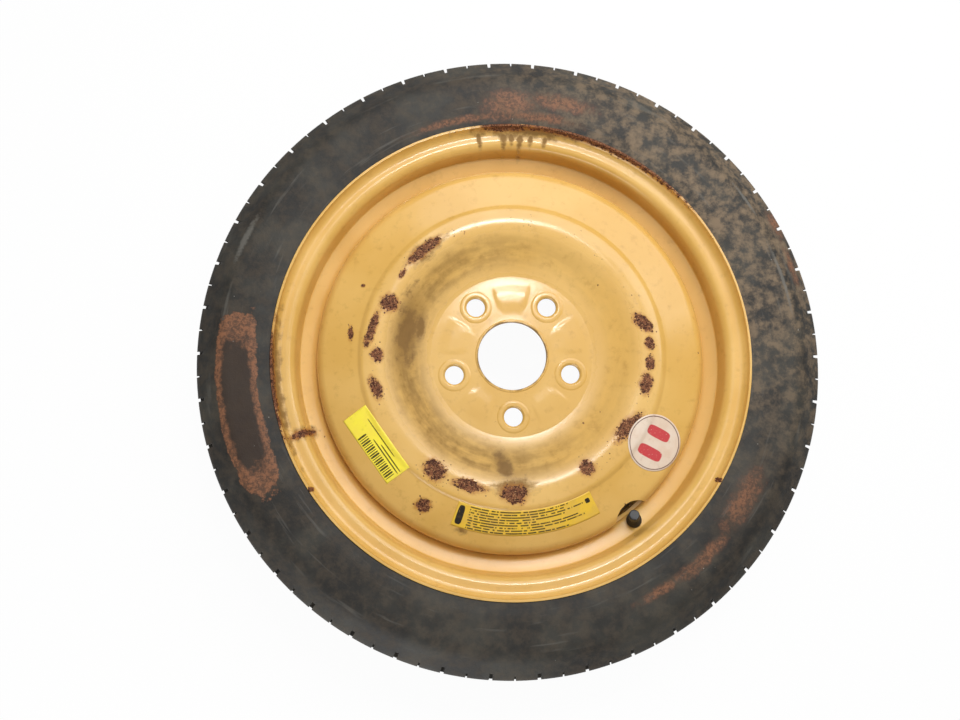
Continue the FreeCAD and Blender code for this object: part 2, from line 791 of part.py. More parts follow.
def check_and_write():
    """Stops on any failed object or bad shape, then writes one file for each piece."""
    doc.recompute()
    for thing in doc.Objects:
        if "Invalid" in thing.State or "Error" in thing.State:
            raise RuntimeError(f"{thing.Name}: {thing.getStatusString()}")
    for piece in pieces:
        if piece.Shape.isNull() or not piece.Shape.isValid():
            raise RuntimeError(f"{piece.Label} has a bad shape")
    os.makedirs("parts", exist_ok=True)
    for piece in pieces:
        piece.Shape.exportStep(os.path.join("parts", f"{piece.Label}.step"))
        print(piece.Label, len(piece.Shape.Solids), round(piece.Shape.Volume, 2))


fill_sheet()
make_tyre()
make_rim()
make_disc()
make_weld_beads()
for valve_piece in make_valve():
    seat_on_valve_axis(valve_piece, "0")
seat_on_valve_axis(make_core_spring(), SPRING_LOW)
make_labels()
check_and_write()
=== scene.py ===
"""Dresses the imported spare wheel: fine meshes, worn enamel, aged rubber, labels, studio and camera.

Sizes are in millimetres and degrees unless a name says otherwise. Angles are seen from
outboard, counter-clockwise from +X, and heights are measured from the floor.
"""
import logging
import math
from dataclasses import dataclass, field
from enum import Enum
from typing import Any, Iterable, Sequence

import bmesh
import bpy
import numpy as np
from mathutils import Matrix, Vector


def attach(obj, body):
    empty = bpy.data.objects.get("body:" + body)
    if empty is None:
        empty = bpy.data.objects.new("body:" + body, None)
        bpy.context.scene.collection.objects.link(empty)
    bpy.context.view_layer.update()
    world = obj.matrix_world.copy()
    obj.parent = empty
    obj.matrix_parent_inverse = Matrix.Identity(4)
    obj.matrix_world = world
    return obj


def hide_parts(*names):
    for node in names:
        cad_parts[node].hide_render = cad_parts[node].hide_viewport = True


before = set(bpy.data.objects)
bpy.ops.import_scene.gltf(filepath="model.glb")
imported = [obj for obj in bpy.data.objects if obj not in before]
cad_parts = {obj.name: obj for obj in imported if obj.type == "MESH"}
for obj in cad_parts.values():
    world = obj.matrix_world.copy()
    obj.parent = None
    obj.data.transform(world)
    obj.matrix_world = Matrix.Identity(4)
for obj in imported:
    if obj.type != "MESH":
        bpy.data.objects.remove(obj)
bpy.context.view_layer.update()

LOG = logging.getLogger("spare_wheel")
MM = 0.001
MID = 65.0
WHEEL_BODY = "wheel"
WHITE = (1.0, 1.0, 1.0, 1.0)
MERGE_REACH = 1e-6
SLIVER = 1e-7
NO_TURN = 1e-4

Corner = tuple[float, ...]
Colour = tuple[float, float, float, float]


class Shading(Enum):
    """How sharply a mesh may bend, in degrees, before its edge shows as a crease."""

    SOFT = 60.0
    PRESSED = 38.0


def linear(code: str) -> Colour:
    """Turns an sRGB hex colour into a linear colour.

    Args:
        code: Six hex digits after a hash.

    Returns:
        Red, green, blue and alpha, linear.
    """
    shares = [int(code[k:k + 2], 16) / 255 for k in (1, 3, 5)]
    return (*[s / 12.92 if s <= 0.04045 else ((s + 0.055) / 1.055) ** 2.4 for s in shares], 1.0)


def add(tree: bpy.types.NodeTree, kind: str, inputs: dict[int | str, Any] | None = None,
        **settings: Any) -> bpy.types.Node:
    """Adds a node, sets it and links it.

    Args:
        tree: The tree that the node goes into.
        kind: The node's type name.
        inputs: For each socket's number or name, a socket or node to link, or a plain value.
        settings: Properties of the node itself.

    Returns:
        The new node.
    """
    node = tree.nodes.new(kind)
    for name, value in settings.items():
        setattr(node, name, value)
    for key, value in (inputs or {}).items():
        if isinstance(value, bpy.types.Node):
            value = next(s for s in value.outputs if s.enabled)
        if isinstance(value, bpy.types.NodeSocket):
            tree.links.new(value, node.inputs[key])
        else:
            node.inputs[key].default_value = value
    return node


def rounded(corners: Sequence[Corner], turn_step: float) -> np.ndarray:
    """Samples an open path with an arc at each corner that has a radius.

    Args:
        corners: (x, y) or (x, y, radius) in order along the path.
        turn_step: The most that an arc turns between samples.

    Returns:
        The samples, one row each.
    """
    samples: list[np.ndarray] = [np.array(corners[0][:2], float)]
    for before, corner, after in zip(corners, corners[1:], corners[2:]):
        spot = np.array(corner[:2], float)
        radius = corner[2] if len(corner) > 2 else 0.0
        back = np.array(before[:2], float) - spot
        ahead = np.array(after[:2], float) - spot
        back /= np.linalg.norm(back)
        ahead /= np.linalg.norm(ahead)
        half = math.acos(float(np.clip(back @ ahead, -1, 1))) / 2
        turn = math.pi - 2 * half
        if radius <= 0 or turn < NO_TURN:
            samples.append(spot)
            continue
        mid_line = (back + ahead) / np.linalg.norm(back + ahead)
        centre = spot + mid_line * radius / math.sin(half)
        start = spot + back * radius / math.tan(half) - centre
        way = math.copysign(1.0, back[1] * ahead[0] - back[0] * ahead[1])
        steps = max(2, math.ceil(math.degrees(turn) / turn_step))
        for k in range(steps + 1):
            a = way * turn * k / steps
            cos, sin = math.cos(a), math.sin(a)
            spun = (start[0] * cos - start[1] * sin, start[0] * sin + start[1] * cos)
            samples.append(centre + np.array(spun))
    samples.append(np.array(corners[-1][:2], float))
    return np.array(samples)


def split_runs(path: np.ndarray, longest: float) -> np.ndarray:
    """Adds samples to a path so that no run is longer than a limit.

    Args:
        path: Samples of an open path.
        longest: The limit.

    Returns:
        The finer path.
    """
    rows = [path[0]]
    for start, end in zip(path, path[1:]):
        count = max(1, math.ceil(float(np.linalg.norm(end - start)) / longest))
        rows.extend(start + (end - start) * (k / count) for k in range(1, count + 1))
    return np.array(rows)


def beside(path: np.ndarray, distance: float) -> np.ndarray:
    """Offsets a path to its left.

    Args:
        path: Samples of an open path.
        distance: How far to the left, or to the right where it is negative.

    Returns:
        As many samples, moved square to the path.
    """
    runs = np.diff(path, axis=0)
    lengths = np.maximum(np.linalg.norm(runs, axis=1), 1e-9)[:, None]
    normals = np.column_stack([-runs[:, 1], runs[:, 0]]) / lengths
    joint = np.vstack([normals[:1], normals[:-1] + normals[1:], normals[-1:]])
    joint /= np.linalg.norm(joint, axis=1)[:, None]
    lead = np.vstack([normals, normals[-1:]])
    stretch = np.clip(np.sum(joint * lead, axis=1), 0.5, 1.0)[:, None]
    return path + joint * distance / stretch


def finish_mesh(mesh: bpy.types.Mesh, shading: Shading) -> None:
    """Merges doubles, turns the faces outwards and sets the creases.

    Args:
        mesh: The mesh to finish.
        shading: Where creases show.
    """
    form = bmesh.new()
    form.from_mesh(mesh)
    bmesh.ops.remove_doubles(form, verts=form.verts, dist=MERGE_REACH)
    bmesh.ops.dissolve_degenerate(form, dist=SLIVER, edges=form.edges)
    bmesh.ops.recalc_face_normals(form, faces=form.faces)
    form.to_mesh(mesh)
    form.free()
    mesh.shade_smooth()
    mesh.set_sharp_from_angle(angle=math.radians(shading.value))


def new_piece(name: str, points: np.ndarray, faces: Iterable[Sequence[int]]) -> bpy.types.Object:
    """Makes an object at the origin from points in millimetres.

    Args:
        name: The piece's name.
        points: One row of x, y, z for each point.
        faces: Point numbers of each face.

    Returns:
        The object, linked to the scene.
    """
    mesh = bpy.data.meshes.new(name)
    mesh.from_pydata((np.asarray(points) * MM).tolist(), [], [list(f) for f in faces])
    piece = bpy.data.objects.new(name, mesh)
    bpy.context.scene.collection.objects.link(piece)
    return piece


def grid_faces(rows: int, columns: int, keep: np.ndarray | None = None, base: int = 0,
               flip: bool = False) -> list[tuple[int, int, int, int]]:
    """Joins a grid of points into four-sided faces.

    Args:
        rows: How many rows of points.
        columns: How many points in each row.
        keep: Which cells to keep, or None for all.
        base: The number of the grid's first point.
        flip: Whether the faces turn the other way.

    Returns:
        The faces' point numbers.
    """
    faces = []
    for r in range(rows - 1):
        for c in range(columns - 1):
            if keep is not None and not keep[r, c]:
                continue
            a = base + r * columns + c
            face = (a, a + 1, a + columns + 1, a + columns)
            faces.append(face[::-1] if flip else face)
    return faces


def open_tree(name: str, inputs: dict[str, str]) -> tuple[bpy.types.NodeTree, bpy.types.Node, bpy.types.Node]:
    """Starts a geometry tree with named inputs.

    Args:
        name: The tree's name.
        inputs: For each input's name, its socket type.

    Returns:
        The tree, its input node and its output node.
    """
    tree = bpy.data.node_groups.new(name, "GeometryNodeTree")
    for label, kind in {"Geometry": "NodeSocketGeometry", **inputs}.items():
        tree.interface.new_socket(label, in_out="INPUT", socket_type=kind)
    tree.interface.new_socket("Geometry", in_out="OUTPUT", socket_type="NodeSocketGeometry")
    return tree, add(tree, "NodeGroupInput"), add(tree, "NodeGroupOutput")


def lathe_tree() -> bpy.types.NodeTree:
    """A tree that turns a closed outline of (radius, 0, height) points about the Z axis."""
    tree, source, result = open_tree("turn_outline", {
        "Segments": "NodeSocketInt", "Finish": "NodeSocketMaterial"})
    counts = add(tree, "GeometryNodeAttributeDomainSize", {0: source.outputs["Geometry"]}, component="MESH")
    length = counts.outputs["Point Count"]
    columns = add(tree, "ShaderNodeMath", {0: source.outputs["Segments"], 1: 1.0}, operation="ADD")
    sheet = add(tree, "GeometryNodeMeshGrid", {"Vertices X": columns, "Vertices Y": length})
    index = add(tree, "GeometryNodeInputIndex")
    row = add(tree, "ShaderNodeMath", {0: index, 1: length}, operation="MODULO")
    share = add(tree, "ShaderNodeMath", {0: index, 1: length}, operation="DIVIDE")
    column = add(tree, "ShaderNodeMath", {0: share}, operation="FLOOR")
    turn = add(tree, "ShaderNodeMath", {0: column, 1: math.tau}, operation="MULTIPLY")
    angle = add(tree, "ShaderNodeMath", {0: turn, 1: source.outputs["Segments"]}, operation="DIVIDE")
    place = add(tree, "GeometryNodeInputPosition")
    sample = add(tree, "GeometryNodeSampleIndex", data_type="FLOAT_VECTOR", domain="POINT")
    tree.links.new(source.outputs["Geometry"], sample.inputs["Geometry"])
    tree.links.new(place.outputs[0], next(s for s in sample.inputs if s.name == "Value" and s.enabled))
    tree.links.new(row.outputs[0], sample.inputs["Index"])
    spun = add(tree, "ShaderNodeVectorRotate", {"Vector": sample, "Angle": angle}, rotation_type="Z_AXIS")
    shaped = add(tree, "GeometryNodeSetPosition", {"Geometry": sheet.outputs["Mesh"], "Position": spun})
    merged = add(tree, "GeometryNodeMergeByDistance", {"Geometry": shaped, "Distance": MERGE_REACH})
    real = add(tree, "GeometryNodeRealizeInstances", {0: merged})
    painted = add(tree, "GeometryNodeSetMaterial", {"Geometry": real, "Material": source.outputs["Finish"]})
    tree.links.new(painted.outputs[0], result.inputs[0])
    return tree


def ring_tree() -> bpy.types.NodeTree:
    """A tree that repeats a mesh evenly about the Z axis."""
    tree, source, result = open_tree("ring_of_copies", {
        "Count": "NodeSocketInt", "Finish": "NodeSocketMaterial"})
    points = add(tree, "GeometryNodePoints", {"Count": source.outputs["Count"]})
    index = add(tree, "GeometryNodeInputIndex")
    turn = add(tree, "ShaderNodeMath", {0: index, 1: math.tau}, operation="MULTIPLY")
    angle = add(tree, "ShaderNodeMath", {0: turn, 1: source.outputs["Count"]}, operation="DIVIDE")
    spin = add(tree, "ShaderNodeCombineXYZ", {"Z": angle})
    copies = add(tree, "GeometryNodeInstanceOnPoints", {
        "Points": points, "Instance": source.outputs["Geometry"], "Rotation": spin})
    real = add(tree, "GeometryNodeRealizeInstances", {0: copies})
    merged = add(tree, "GeometryNodeMergeByDistance", {"Geometry": real, "Distance": 2 * MERGE_REACH})
    painted = add(tree, "GeometryNodeSetMaterial", {"Geometry": merged, "Material": source.outputs["Finish"]})
    tree.links.new(painted.outputs[0], result.inputs[0])
    return tree


def run_tree(piece: bpy.types.Object, tree: bpy.types.NodeTree, values: dict[str, Any]) -> None:
    """Runs a tree on a piece and leaves the result as its plain mesh.

    Args:
        piece: The object whose mesh the tree starts from.
        tree: The geometry tree.
        values: For each named input, its value.
    """
    modifier = piece.modifiers.new(tree.name, "NODES")
    modifier.node_group = tree
    for item in tree.interface.items_tree:
        if item.item_type == "SOCKET" and item.in_out == "INPUT" and item.name in values:
            modifier[item.identifier] = values[item.name]
    graph = bpy.context.evaluated_depsgraph_get()
    mesh = bpy.data.meshes.new_from_object(piece.evaluated_get(graph), depsgraph=graph)
    piece.modifiers.remove(modifier)
    piece.data = mesh


@dataclass
class Workshop:
    """The geometry trees that the sub-assemblies share."""

    lathe: bpy.types.NodeTree = field(default_factory=lathe_tree)
    ring: bpy.types.NodeTree = field(default_factory=ring_tree)

    def turned(self, name: str, outline: np.ndarray, segments: int, finish: bpy.types.Material,
               shading: Shading) -> bpy.types.Object:
        """Turns a closed outline of (radius, height) rows.

        Args:
            name: The piece's name.
            outline: The outline, without its first point again at the end.
            segments: How many steps go round.
            finish: The material.
            shading: Where creases show.

        Returns:
            The turned piece.
        """
        closed = np.vstack([outline, outline[:1]])
        points = np.column_stack([closed[:, 0], np.zeros(len(closed)), closed[:, 1]])
        piece = new_piece(name, points, [])
        run_tree(piece, self.lathe, {"Segments": segments, "Finish": finish})
        finish_mesh(piece.data, shading)
        return piece

    def repeated(self, piece: bpy.types.Object, count: int, finish: bpy.types.Material,
                 shading: Shading) -> bpy.types.Object:
        """Repeats a piece's mesh about the Z axis, inside the same piece.

        Args:
            piece: The piece that holds one copy.
            count: How many copies go round.
            finish: The material.
            shading: Where creases show.

        Returns:
            The same piece.
        """
        run_tree(piece, self.ring, {"Count": count, "Finish": finish})
        finish_mesh(piece.data, shading)
        return piece


@dataclass(frozen=True)
class Spot:
    """An oblong mark: its middle, half sizes and turn.

    On the disc and on a label the middle is x and y. On a ring it is radius and angle, and the half sizes are
    millimetres across the ring and degrees along it.
    """

    x: float
    y: float
    half_length: float
    half_width: float
    turn: float = 0.0


class Painter:
    """Grows the node tree of one material."""

    BACK_TURN = 80.0
    FLAT_REACH = 1e6

    def __init__(self, name: str) -> None:
        """Starts an empty material.

        Args:
            name: The material's name.
        """
        self.material = bpy.data.materials.new(name)
        self.material.use_nodes = True
        self.tree = self.material.node_tree
        self.tree.nodes.clear()
        self.place = self.add("ShaderNodeTexCoord").outputs["Object"]

    def add(self, kind: str, inputs: dict[int | str, Any] | None = None, **settings: Any) -> bpy.types.Node:
        """Adds a node to this material's tree."""
        return add(self.tree, kind, inputs, **settings)

    def maths(self, operation: str, *values: Any) -> bpy.types.Node:
        """Works out one number from others."""
        return self.add("ShaderNodeMath", dict(enumerate(values)), operation=operation)

    def noise(self, grain: float, detail: float = 3.0, place: Any = None, roughness: float = 0.55) -> Any:
        """Cloudy noise.

        Args:
            grain: The size of its clouds in millimetres.
            detail: How many finer layers it has.
            place: Where it is read, or None for the piece's own place.
            roughness: How strong the finer layers are.

        Returns:
            The noise's value socket.
        """
        return self.add("ShaderNodeTexNoise", {
            "Vector": place or self.place, "Scale": 1 / (grain * MM), "Detail": detail,
            "Roughness": roughness}).outputs[0]

    def ramp(self, value: Any, low: float, high: float, start: float = 0.0, end: float = 1.0) -> Any:
        """Fades smoothly from start to end as a value goes from low to high.

        Args:
            value: The socket to follow.
            low: Where the fade starts.
            high: Where it ends.
            start: The result at low.
            end: The result at high.

        Returns:
            The fade's socket.
        """
        return self.add("ShaderNodeMapRange", {0: value, 1: low, 2: high, 3: start, 4: end},
                        interpolation_type="SMOOTHSTEP").outputs[0]

    def blend(self, share: Any, under: Any, over: Any) -> Any:
        """Mixes two colours.

        Args:
            share: How much of the upper colour shows.
            under: The lower colour, a socket or a colour.
            over: The upper colour, a socket or a colour.

        Returns:
            The mixed colour's socket.
        """
        return self.add("ShaderNodeMix", {0: share, 6: under, 7: over}, data_type="RGBA").outputs[2]

    def polar(self) -> tuple[Any, Any, Any]:
        """Radius and angle about the wheel's axis.

        The angle's cut is at -100 degrees, where nothing is marked.

        Returns:
            The radius in millimetres, the angle in degrees, and both as one vector.
        """
        apart = self.add("ShaderNodeSeparateXYZ", {0: self.place})
        flat = self.add("ShaderNodeCombineXYZ", {0: apart.outputs[0], 1: apart.outputs[1]})
        length = self.add("ShaderNodeVectorMath", {0: flat}, operation="LENGTH").outputs["Value"]
        radius = self.maths("DIVIDE", length, MM)
        back = self.add("ShaderNodeVectorRotate", {"Vector": flat, "Angle": math.radians(-self.BACK_TURN)},
                        rotation_type="Z_AXIS")
        turned = self.add("ShaderNodeSeparateXYZ", {0: back})
        bare = self.maths("ARCTAN2", turned.outputs[1], turned.outputs[0])
        angle = self.maths("ADD", self.maths("DEGREES", bare), self.BACK_TURN)
        both = self.add("ShaderNodeCombineXYZ", {0: radius, 1: angle})
        return radius.outputs[0], angle.outputs[0], both.outputs[0]

    def wound(self, radius: Any, drum: float) -> Any:
        """The place wound on a narrow drum, where noise makes arcs about the wheel's axis.

        Args:
            radius: The radius socket in millimetres.
            drum: The drum's radius in millimetres; a smaller one gives longer arcs.

        Returns:
            The vector to read noise at.
        """
        apart = self.add("ShaderNodeSeparateXYZ", {0: self.place})
        flat = self.add("ShaderNodeCombineXYZ", {0: apart.outputs[0], 1: apart.outputs[1]})
        way = self.add("ShaderNodeVectorMath", {0: flat}, operation="NORMALIZE")
        arm = self.add("ShaderNodeVectorMath", {0: way, "Scale": drum * MM}, operation="SCALE")
        along = self.maths("MULTIPLY_ADD", radius, MM, apart.outputs[2])
        rise = self.add("ShaderNodeCombineXYZ", {2: along})
        return self.add("ShaderNodeVectorMath", {0: arm, 1: rise}).outputs[0]

    def height(self) -> Any:
        """The place's height in millimetres."""
        apart = self.add("ShaderNodeSeparateXYZ", {0: self.place})
        return self.maths("DIVIDE", apart.outputs[2], MM).outputs[0]

    def nearness(self, spots: Sequence[Spot], place: Any, boxy: bool = False) -> Any:
        """Distance to the nearest of several spots, in units of their half sizes.

        Args:
            spots: The spots, in millimetres or polar units.
            place: A vector in the same units.
            boxy: Whether the spots are rounded oblongs instead of ovals.

        Returns:
            A socket that is 0 in a spot's middle and 1 at its edge.
        """
        nearest: Any = None
        for spot in spots:
            local = self.add("ShaderNodeMapping", {
                "Vector": place, "Location": (spot.x, spot.y, 0.0),
                "Rotation": (0.0, 0.0, math.radians(spot.turn)),
                "Scale": (spot.half_length, spot.half_width, self.FLAT_REACH)}, vector_type="TEXTURE")
            if boxy:
                squared = self.add("ShaderNodeVectorMath", {0: local, 1: local}, operation="MULTIPLY")
                size = self.add("ShaderNodeVectorMath", {0: squared}, operation="LENGTH").outputs["Value"]
                away = self.maths("SQRT", size)
            else:
                away = self.add("ShaderNodeVectorMath", {0: local}, operation="LENGTH").outputs["Value"]
            nearest = away if nearest is None else self.maths("MINIMUM", nearest, away)
        return nearest

    def specks(self, spacing: float, size: float, share: float) -> Any:
        """Sparse small marks.

        Args:
            spacing: Rough distance between places where one may be.
            size: A mark's rough radius.
            share: The share of places that have one.

        Returns:
            A socket that is 1 in a mark.
        """
        wobble = self.noise(size * 1.6, 2.0)
        cells = self.add("ShaderNodeTexVoronoi", {"Vector": self.place, "Scale": 1 / (spacing * MM)})
        tint = self.add("ShaderNodeSeparateColor", {0: cells.outputs["Color"]})
        chosen = self.maths("LESS_THAN", tint.outputs[0], share)
        edge = self.maths("ADD", cells.outputs["Distance"], self.maths("MULTIPLY_ADD", wobble, 0.2, -0.1))
        reach = size / spacing
        varied = self.maths("MULTIPLY_ADD", tint.outputs[1], -0.8 * reach, 1.2 * reach)
        inside = self.maths("LESS_THAN", edge, varied)
        return self.maths("MULTIPLY", chosen, inside).outputs[0]

    def finish(self, inputs: dict[str, Any], bump: Any = None, rise: float = 0.1) -> bpy.types.Material:
        """Closes the tree with a principled shader.

        Args:
            inputs: Sockets and values for the shader.
            bump: A height from 0 to 1, or None.
            rise: What a height of 1 stands for, in millimetres.

        Returns:
            The finished material.
        """
        shader = self.add("ShaderNodeBsdfPrincipled", inputs)
        if bump is not None:
            bumped = self.add("ShaderNodeBump", {"Height": bump, "Distance": rise * MM, "Strength": 1.0})
            self.tree.links.new(bumped.outputs[0], shader.inputs["Normal"])
        self.add("ShaderNodeOutputMaterial", {"Surface": shader})
        return self.material


@dataclass(frozen=True)
class WheelEnamel:
    """Baked enamel on pressed steel: ochre, half gloss, slightly wavy, with chips that rusted through.

    The rust is matt and crusty against the smooth paint, dark in the middle of a chip, with an
    orange stain bled into the paint round it.
    """

    name: str
    paint: str = "#DAAC5A"
    pale_paint: str = "#E1B566"
    grime: str = "#A87A35"
    # Brown for the bowl's darkening: partly real grime, partly painted shade on the bowl's left side
    grime_and_shade: str = "#7D5C2A"
    smear: str = "#6B4B24"
    stain: str = "#B0702E"
    rust: str = "#87563A"
    crust: str = "#4B2C20"
    bright_rust: str = "#B88A5C"
    soot: str = "#1D1511"
    roughness: float = 0.17
    chips: tuple[Spot, ...] = ()
    hazes: tuple[Spot, ...] = ()
    ring_chips: tuple[Spot, ...] = ()
    ring_hazes: tuple[Spot, ...] = ()
    front_only: bool = False
    lowest_marks: float = 0.0
    wear: float = 1.0
    # Radius and side of the bowl's brown darkening, partly grime and partly painted shade heaviest on that
    # side
    grime_and_shade_radius: float = 0.0
    grime_and_shade_side: float = 195.0
    chipped_ridge: float = 0.0

    def make(self) -> bpy.types.Material:
        """Builds the material."""
        ink = Painter(self.name)
        radius, _, ring = ink.polar()
        flat = ink.add("ShaderNodeVectorMath", {0: ink.place, "Scale": 1 / MM}, operation="SCALE").outputs[0]
        cloud = ink.noise(70.0, 3.0)
        dirt = ink.noise(9.0, 4.0, roughness=0.65)
        grain = ink.noise(3.0, 3.0, roughness=0.7)
        fine = ink.noise(1.3, 3.0, roughness=0.7)
        streak = ink.noise(9.0, 3.0, ink.wound(radius, 24.0))
        shown: Any = ink.ramp(ink.height(), self.lowest_marks, self.lowest_marks + 4.0)
        if self.front_only:
            side = ink.add("ShaderNodeAttribute", attribute_name="outboard").outputs["Fac"]
            shown = ink.maths("MULTIPLY", shown, side).outputs[0]

        colour = ink.blend(ink.ramp(cloud, 0.35, 0.65), linear(self.paint), linear(self.pale_paint))
        grimy = ink.maths("MULTIPLY", ink.ramp(dirt, 0.52, 0.78), 0.32 * self.wear)
        colour = ink.blend(grimy, colour, linear(self.grime))
        # The bowl is darkened towards brown, most on its left side: partly real grime, partly painted shade;
        # the same bowl zone also dulls the gloss
        dust_and_painted_light: Any = 0.0
        if self.grime_and_shade_radius > 0:
            worst = math.radians(self.grime_and_shade_side)
            side_on = ink.add("ShaderNodeVectorMath", {0: flat, 1: (math.cos(worst), math.sin(worst), 0.0)},
                              operation="DOT_PRODUCT").outputs["Value"]
            sided = ink.ramp(ink.maths("DIVIDE", side_on, radius), -1.0, 0.7, 0.25, 1.0)
            low = ink.ramp(radius, self.grime_and_shade_radius * 0.6, self.grime_and_shade_radius * 0.8)
            high = ink.ramp(radius, self.grime_and_shade_radius * 1.02, self.grime_and_shade_radius * 0.86)
            dust_and_painted_light = ink.maths("MULTIPLY", low, high)
            mixed = ink.maths("MULTIPLY_ADD", dirt, 0.25, ink.maths("MULTIPLY_ADD", cloud, 0.3,
                                                                    ink.maths("MULTIPLY", streak, 0.45)))
            one_sided = ink.maths("MULTIPLY", dust_and_painted_light, sided)
            grime_and_shade_share = ink.maths("MULTIPLY", one_sided, ink.ramp(mixed, 0.36, 0.62, 0.22, 0.8))
            colour = ink.blend(grime_and_shade_share, colour, linear(self.grime_and_shade))

        core: Any = 0.0
        halo: Any = 0.0
        smeared: Any = 0.0
        strays = ink.specks(3.4, 0.75, 0.5)
        for spots, place in ((self.chips, flat), (self.ring_chips, ring)):
            if not spots:
                continue
            away = ink.nearness(spots, place)
            rough_edge = ink.maths("MULTIPLY_ADD", grain, 1.6, ink.maths("MULTIPLY_ADD", dirt, 1.2, -1.4))
            broken = ink.maths("ADD", away, rough_edge)
            core = ink.maths("MAXIMUM", core, ink.ramp(broken, 1.05, 0.85))
            near = ink.ramp(ink.maths("MULTIPLY_ADD", dirt, 1.2, away), 2.5, 2.0)
            core = ink.maths("MAXIMUM", core, ink.maths("MULTIPLY", strays, near))
            soft_edge = ink.maths("ADD", away, ink.maths("MULTIPLY_ADD", dirt, 1.4, -0.7))
            halo = ink.maths("MAXIMUM", halo, ink.ramp(soft_edge, 1.5, 0.8, 0.0, 0.7))
        if self.chipped_ridge > 0:
            off_ridge = ink.maths("ABSOLUTE", ink.maths("SUBTRACT", radius, self.chipped_ridge))
            patchy = ink.ramp(ink.noise(26.0, 1.0), 0.5, 0.62)
            patchy = ink.maths("MULTIPLY", patchy, ink.ramp(off_ridge, 6.0, 3.0))
            core = ink.maths("MAXIMUM", core, ink.maths("MULTIPLY", ink.specks(2.4, 0.6, 0.4), patchy))
        for spots, place in ((self.hazes, flat), (self.ring_hazes, ring)):
            if not spots:
                continue
            loose = ink.maths("MULTIPLY_ADD", streak, 2.0, ink.maths("MULTIPLY_ADD", dirt, 2.2, -2.1))
            soft_edge = ink.maths("ADD", ink.nearness(spots, place), loose)
            smeared = ink.maths("MAXIMUM", smeared, ink.ramp(soft_edge, 1.3, 0.3, 0.0, 0.8))
        core = ink.maths("MULTIPLY", core, shown)
        halo = ink.maths("MULTIPLY", halo, shown)
        smeared = ink.maths("MULTIPLY", smeared, shown)
        specks = ink.specks(16.0, 0.85, 0.16 * self.wear)
        core = ink.maths("MAXIMUM", core, ink.maths("MULTIPLY", specks, 0.85))

        colour = ink.blend(smeared, colour, linear(self.smear))
        colour = ink.blend(halo, colour, linear(self.stain))
        clumps = ink.maths("MULTIPLY_ADD", grain, 0.65, ink.maths("MULTIPLY", fine, 0.35))
        crusty = ink.blend(ink.ramp(clumps, 0.42, 0.58), linear(self.crust), linear(self.rust))
        crusty = ink.blend(ink.ramp(ink.noise(1.1, 2.0), 0.58, 0.7), crusty, linear(self.bright_rust))
        crusty = ink.blend(ink.ramp(ink.noise(1.9, 2.0), 0.4, 0.34), crusty, linear(self.soot))
        colour = ink.blend(core, colour, crusty)

        dull = ink.maths("MAXIMUM", core, ink.maths("MAXIMUM", ink.maths("MULTIPLY", dust_and_painted_light, 0.8), smeared))
        matt = ink.maths("MULTIPLY_ADD", dull, 0.5, self.roughness)
        matt = ink.maths("ADD", matt, ink.maths("MULTIPLY_ADD", dirt, 0.16, -0.06))
        gleam = ink.maths("MULTIPLY_ADD", dull, -0.35, 0.5)
        orange_peel = ink.maths("MULTIPLY", ink.noise(5.0, 1.0), 0.06)
        crust_height = ink.maths("MULTIPLY", core, ink.maths("MULTIPLY_ADD", grain, 1.4, -1.0))
        height = ink.maths("ADD", orange_peel, crust_height)
        return ink.finish({"Base Color": colour, "Roughness": matt, "IOR": 1.5, "Specular IOR Level": gleam},
                          height, 0.35)


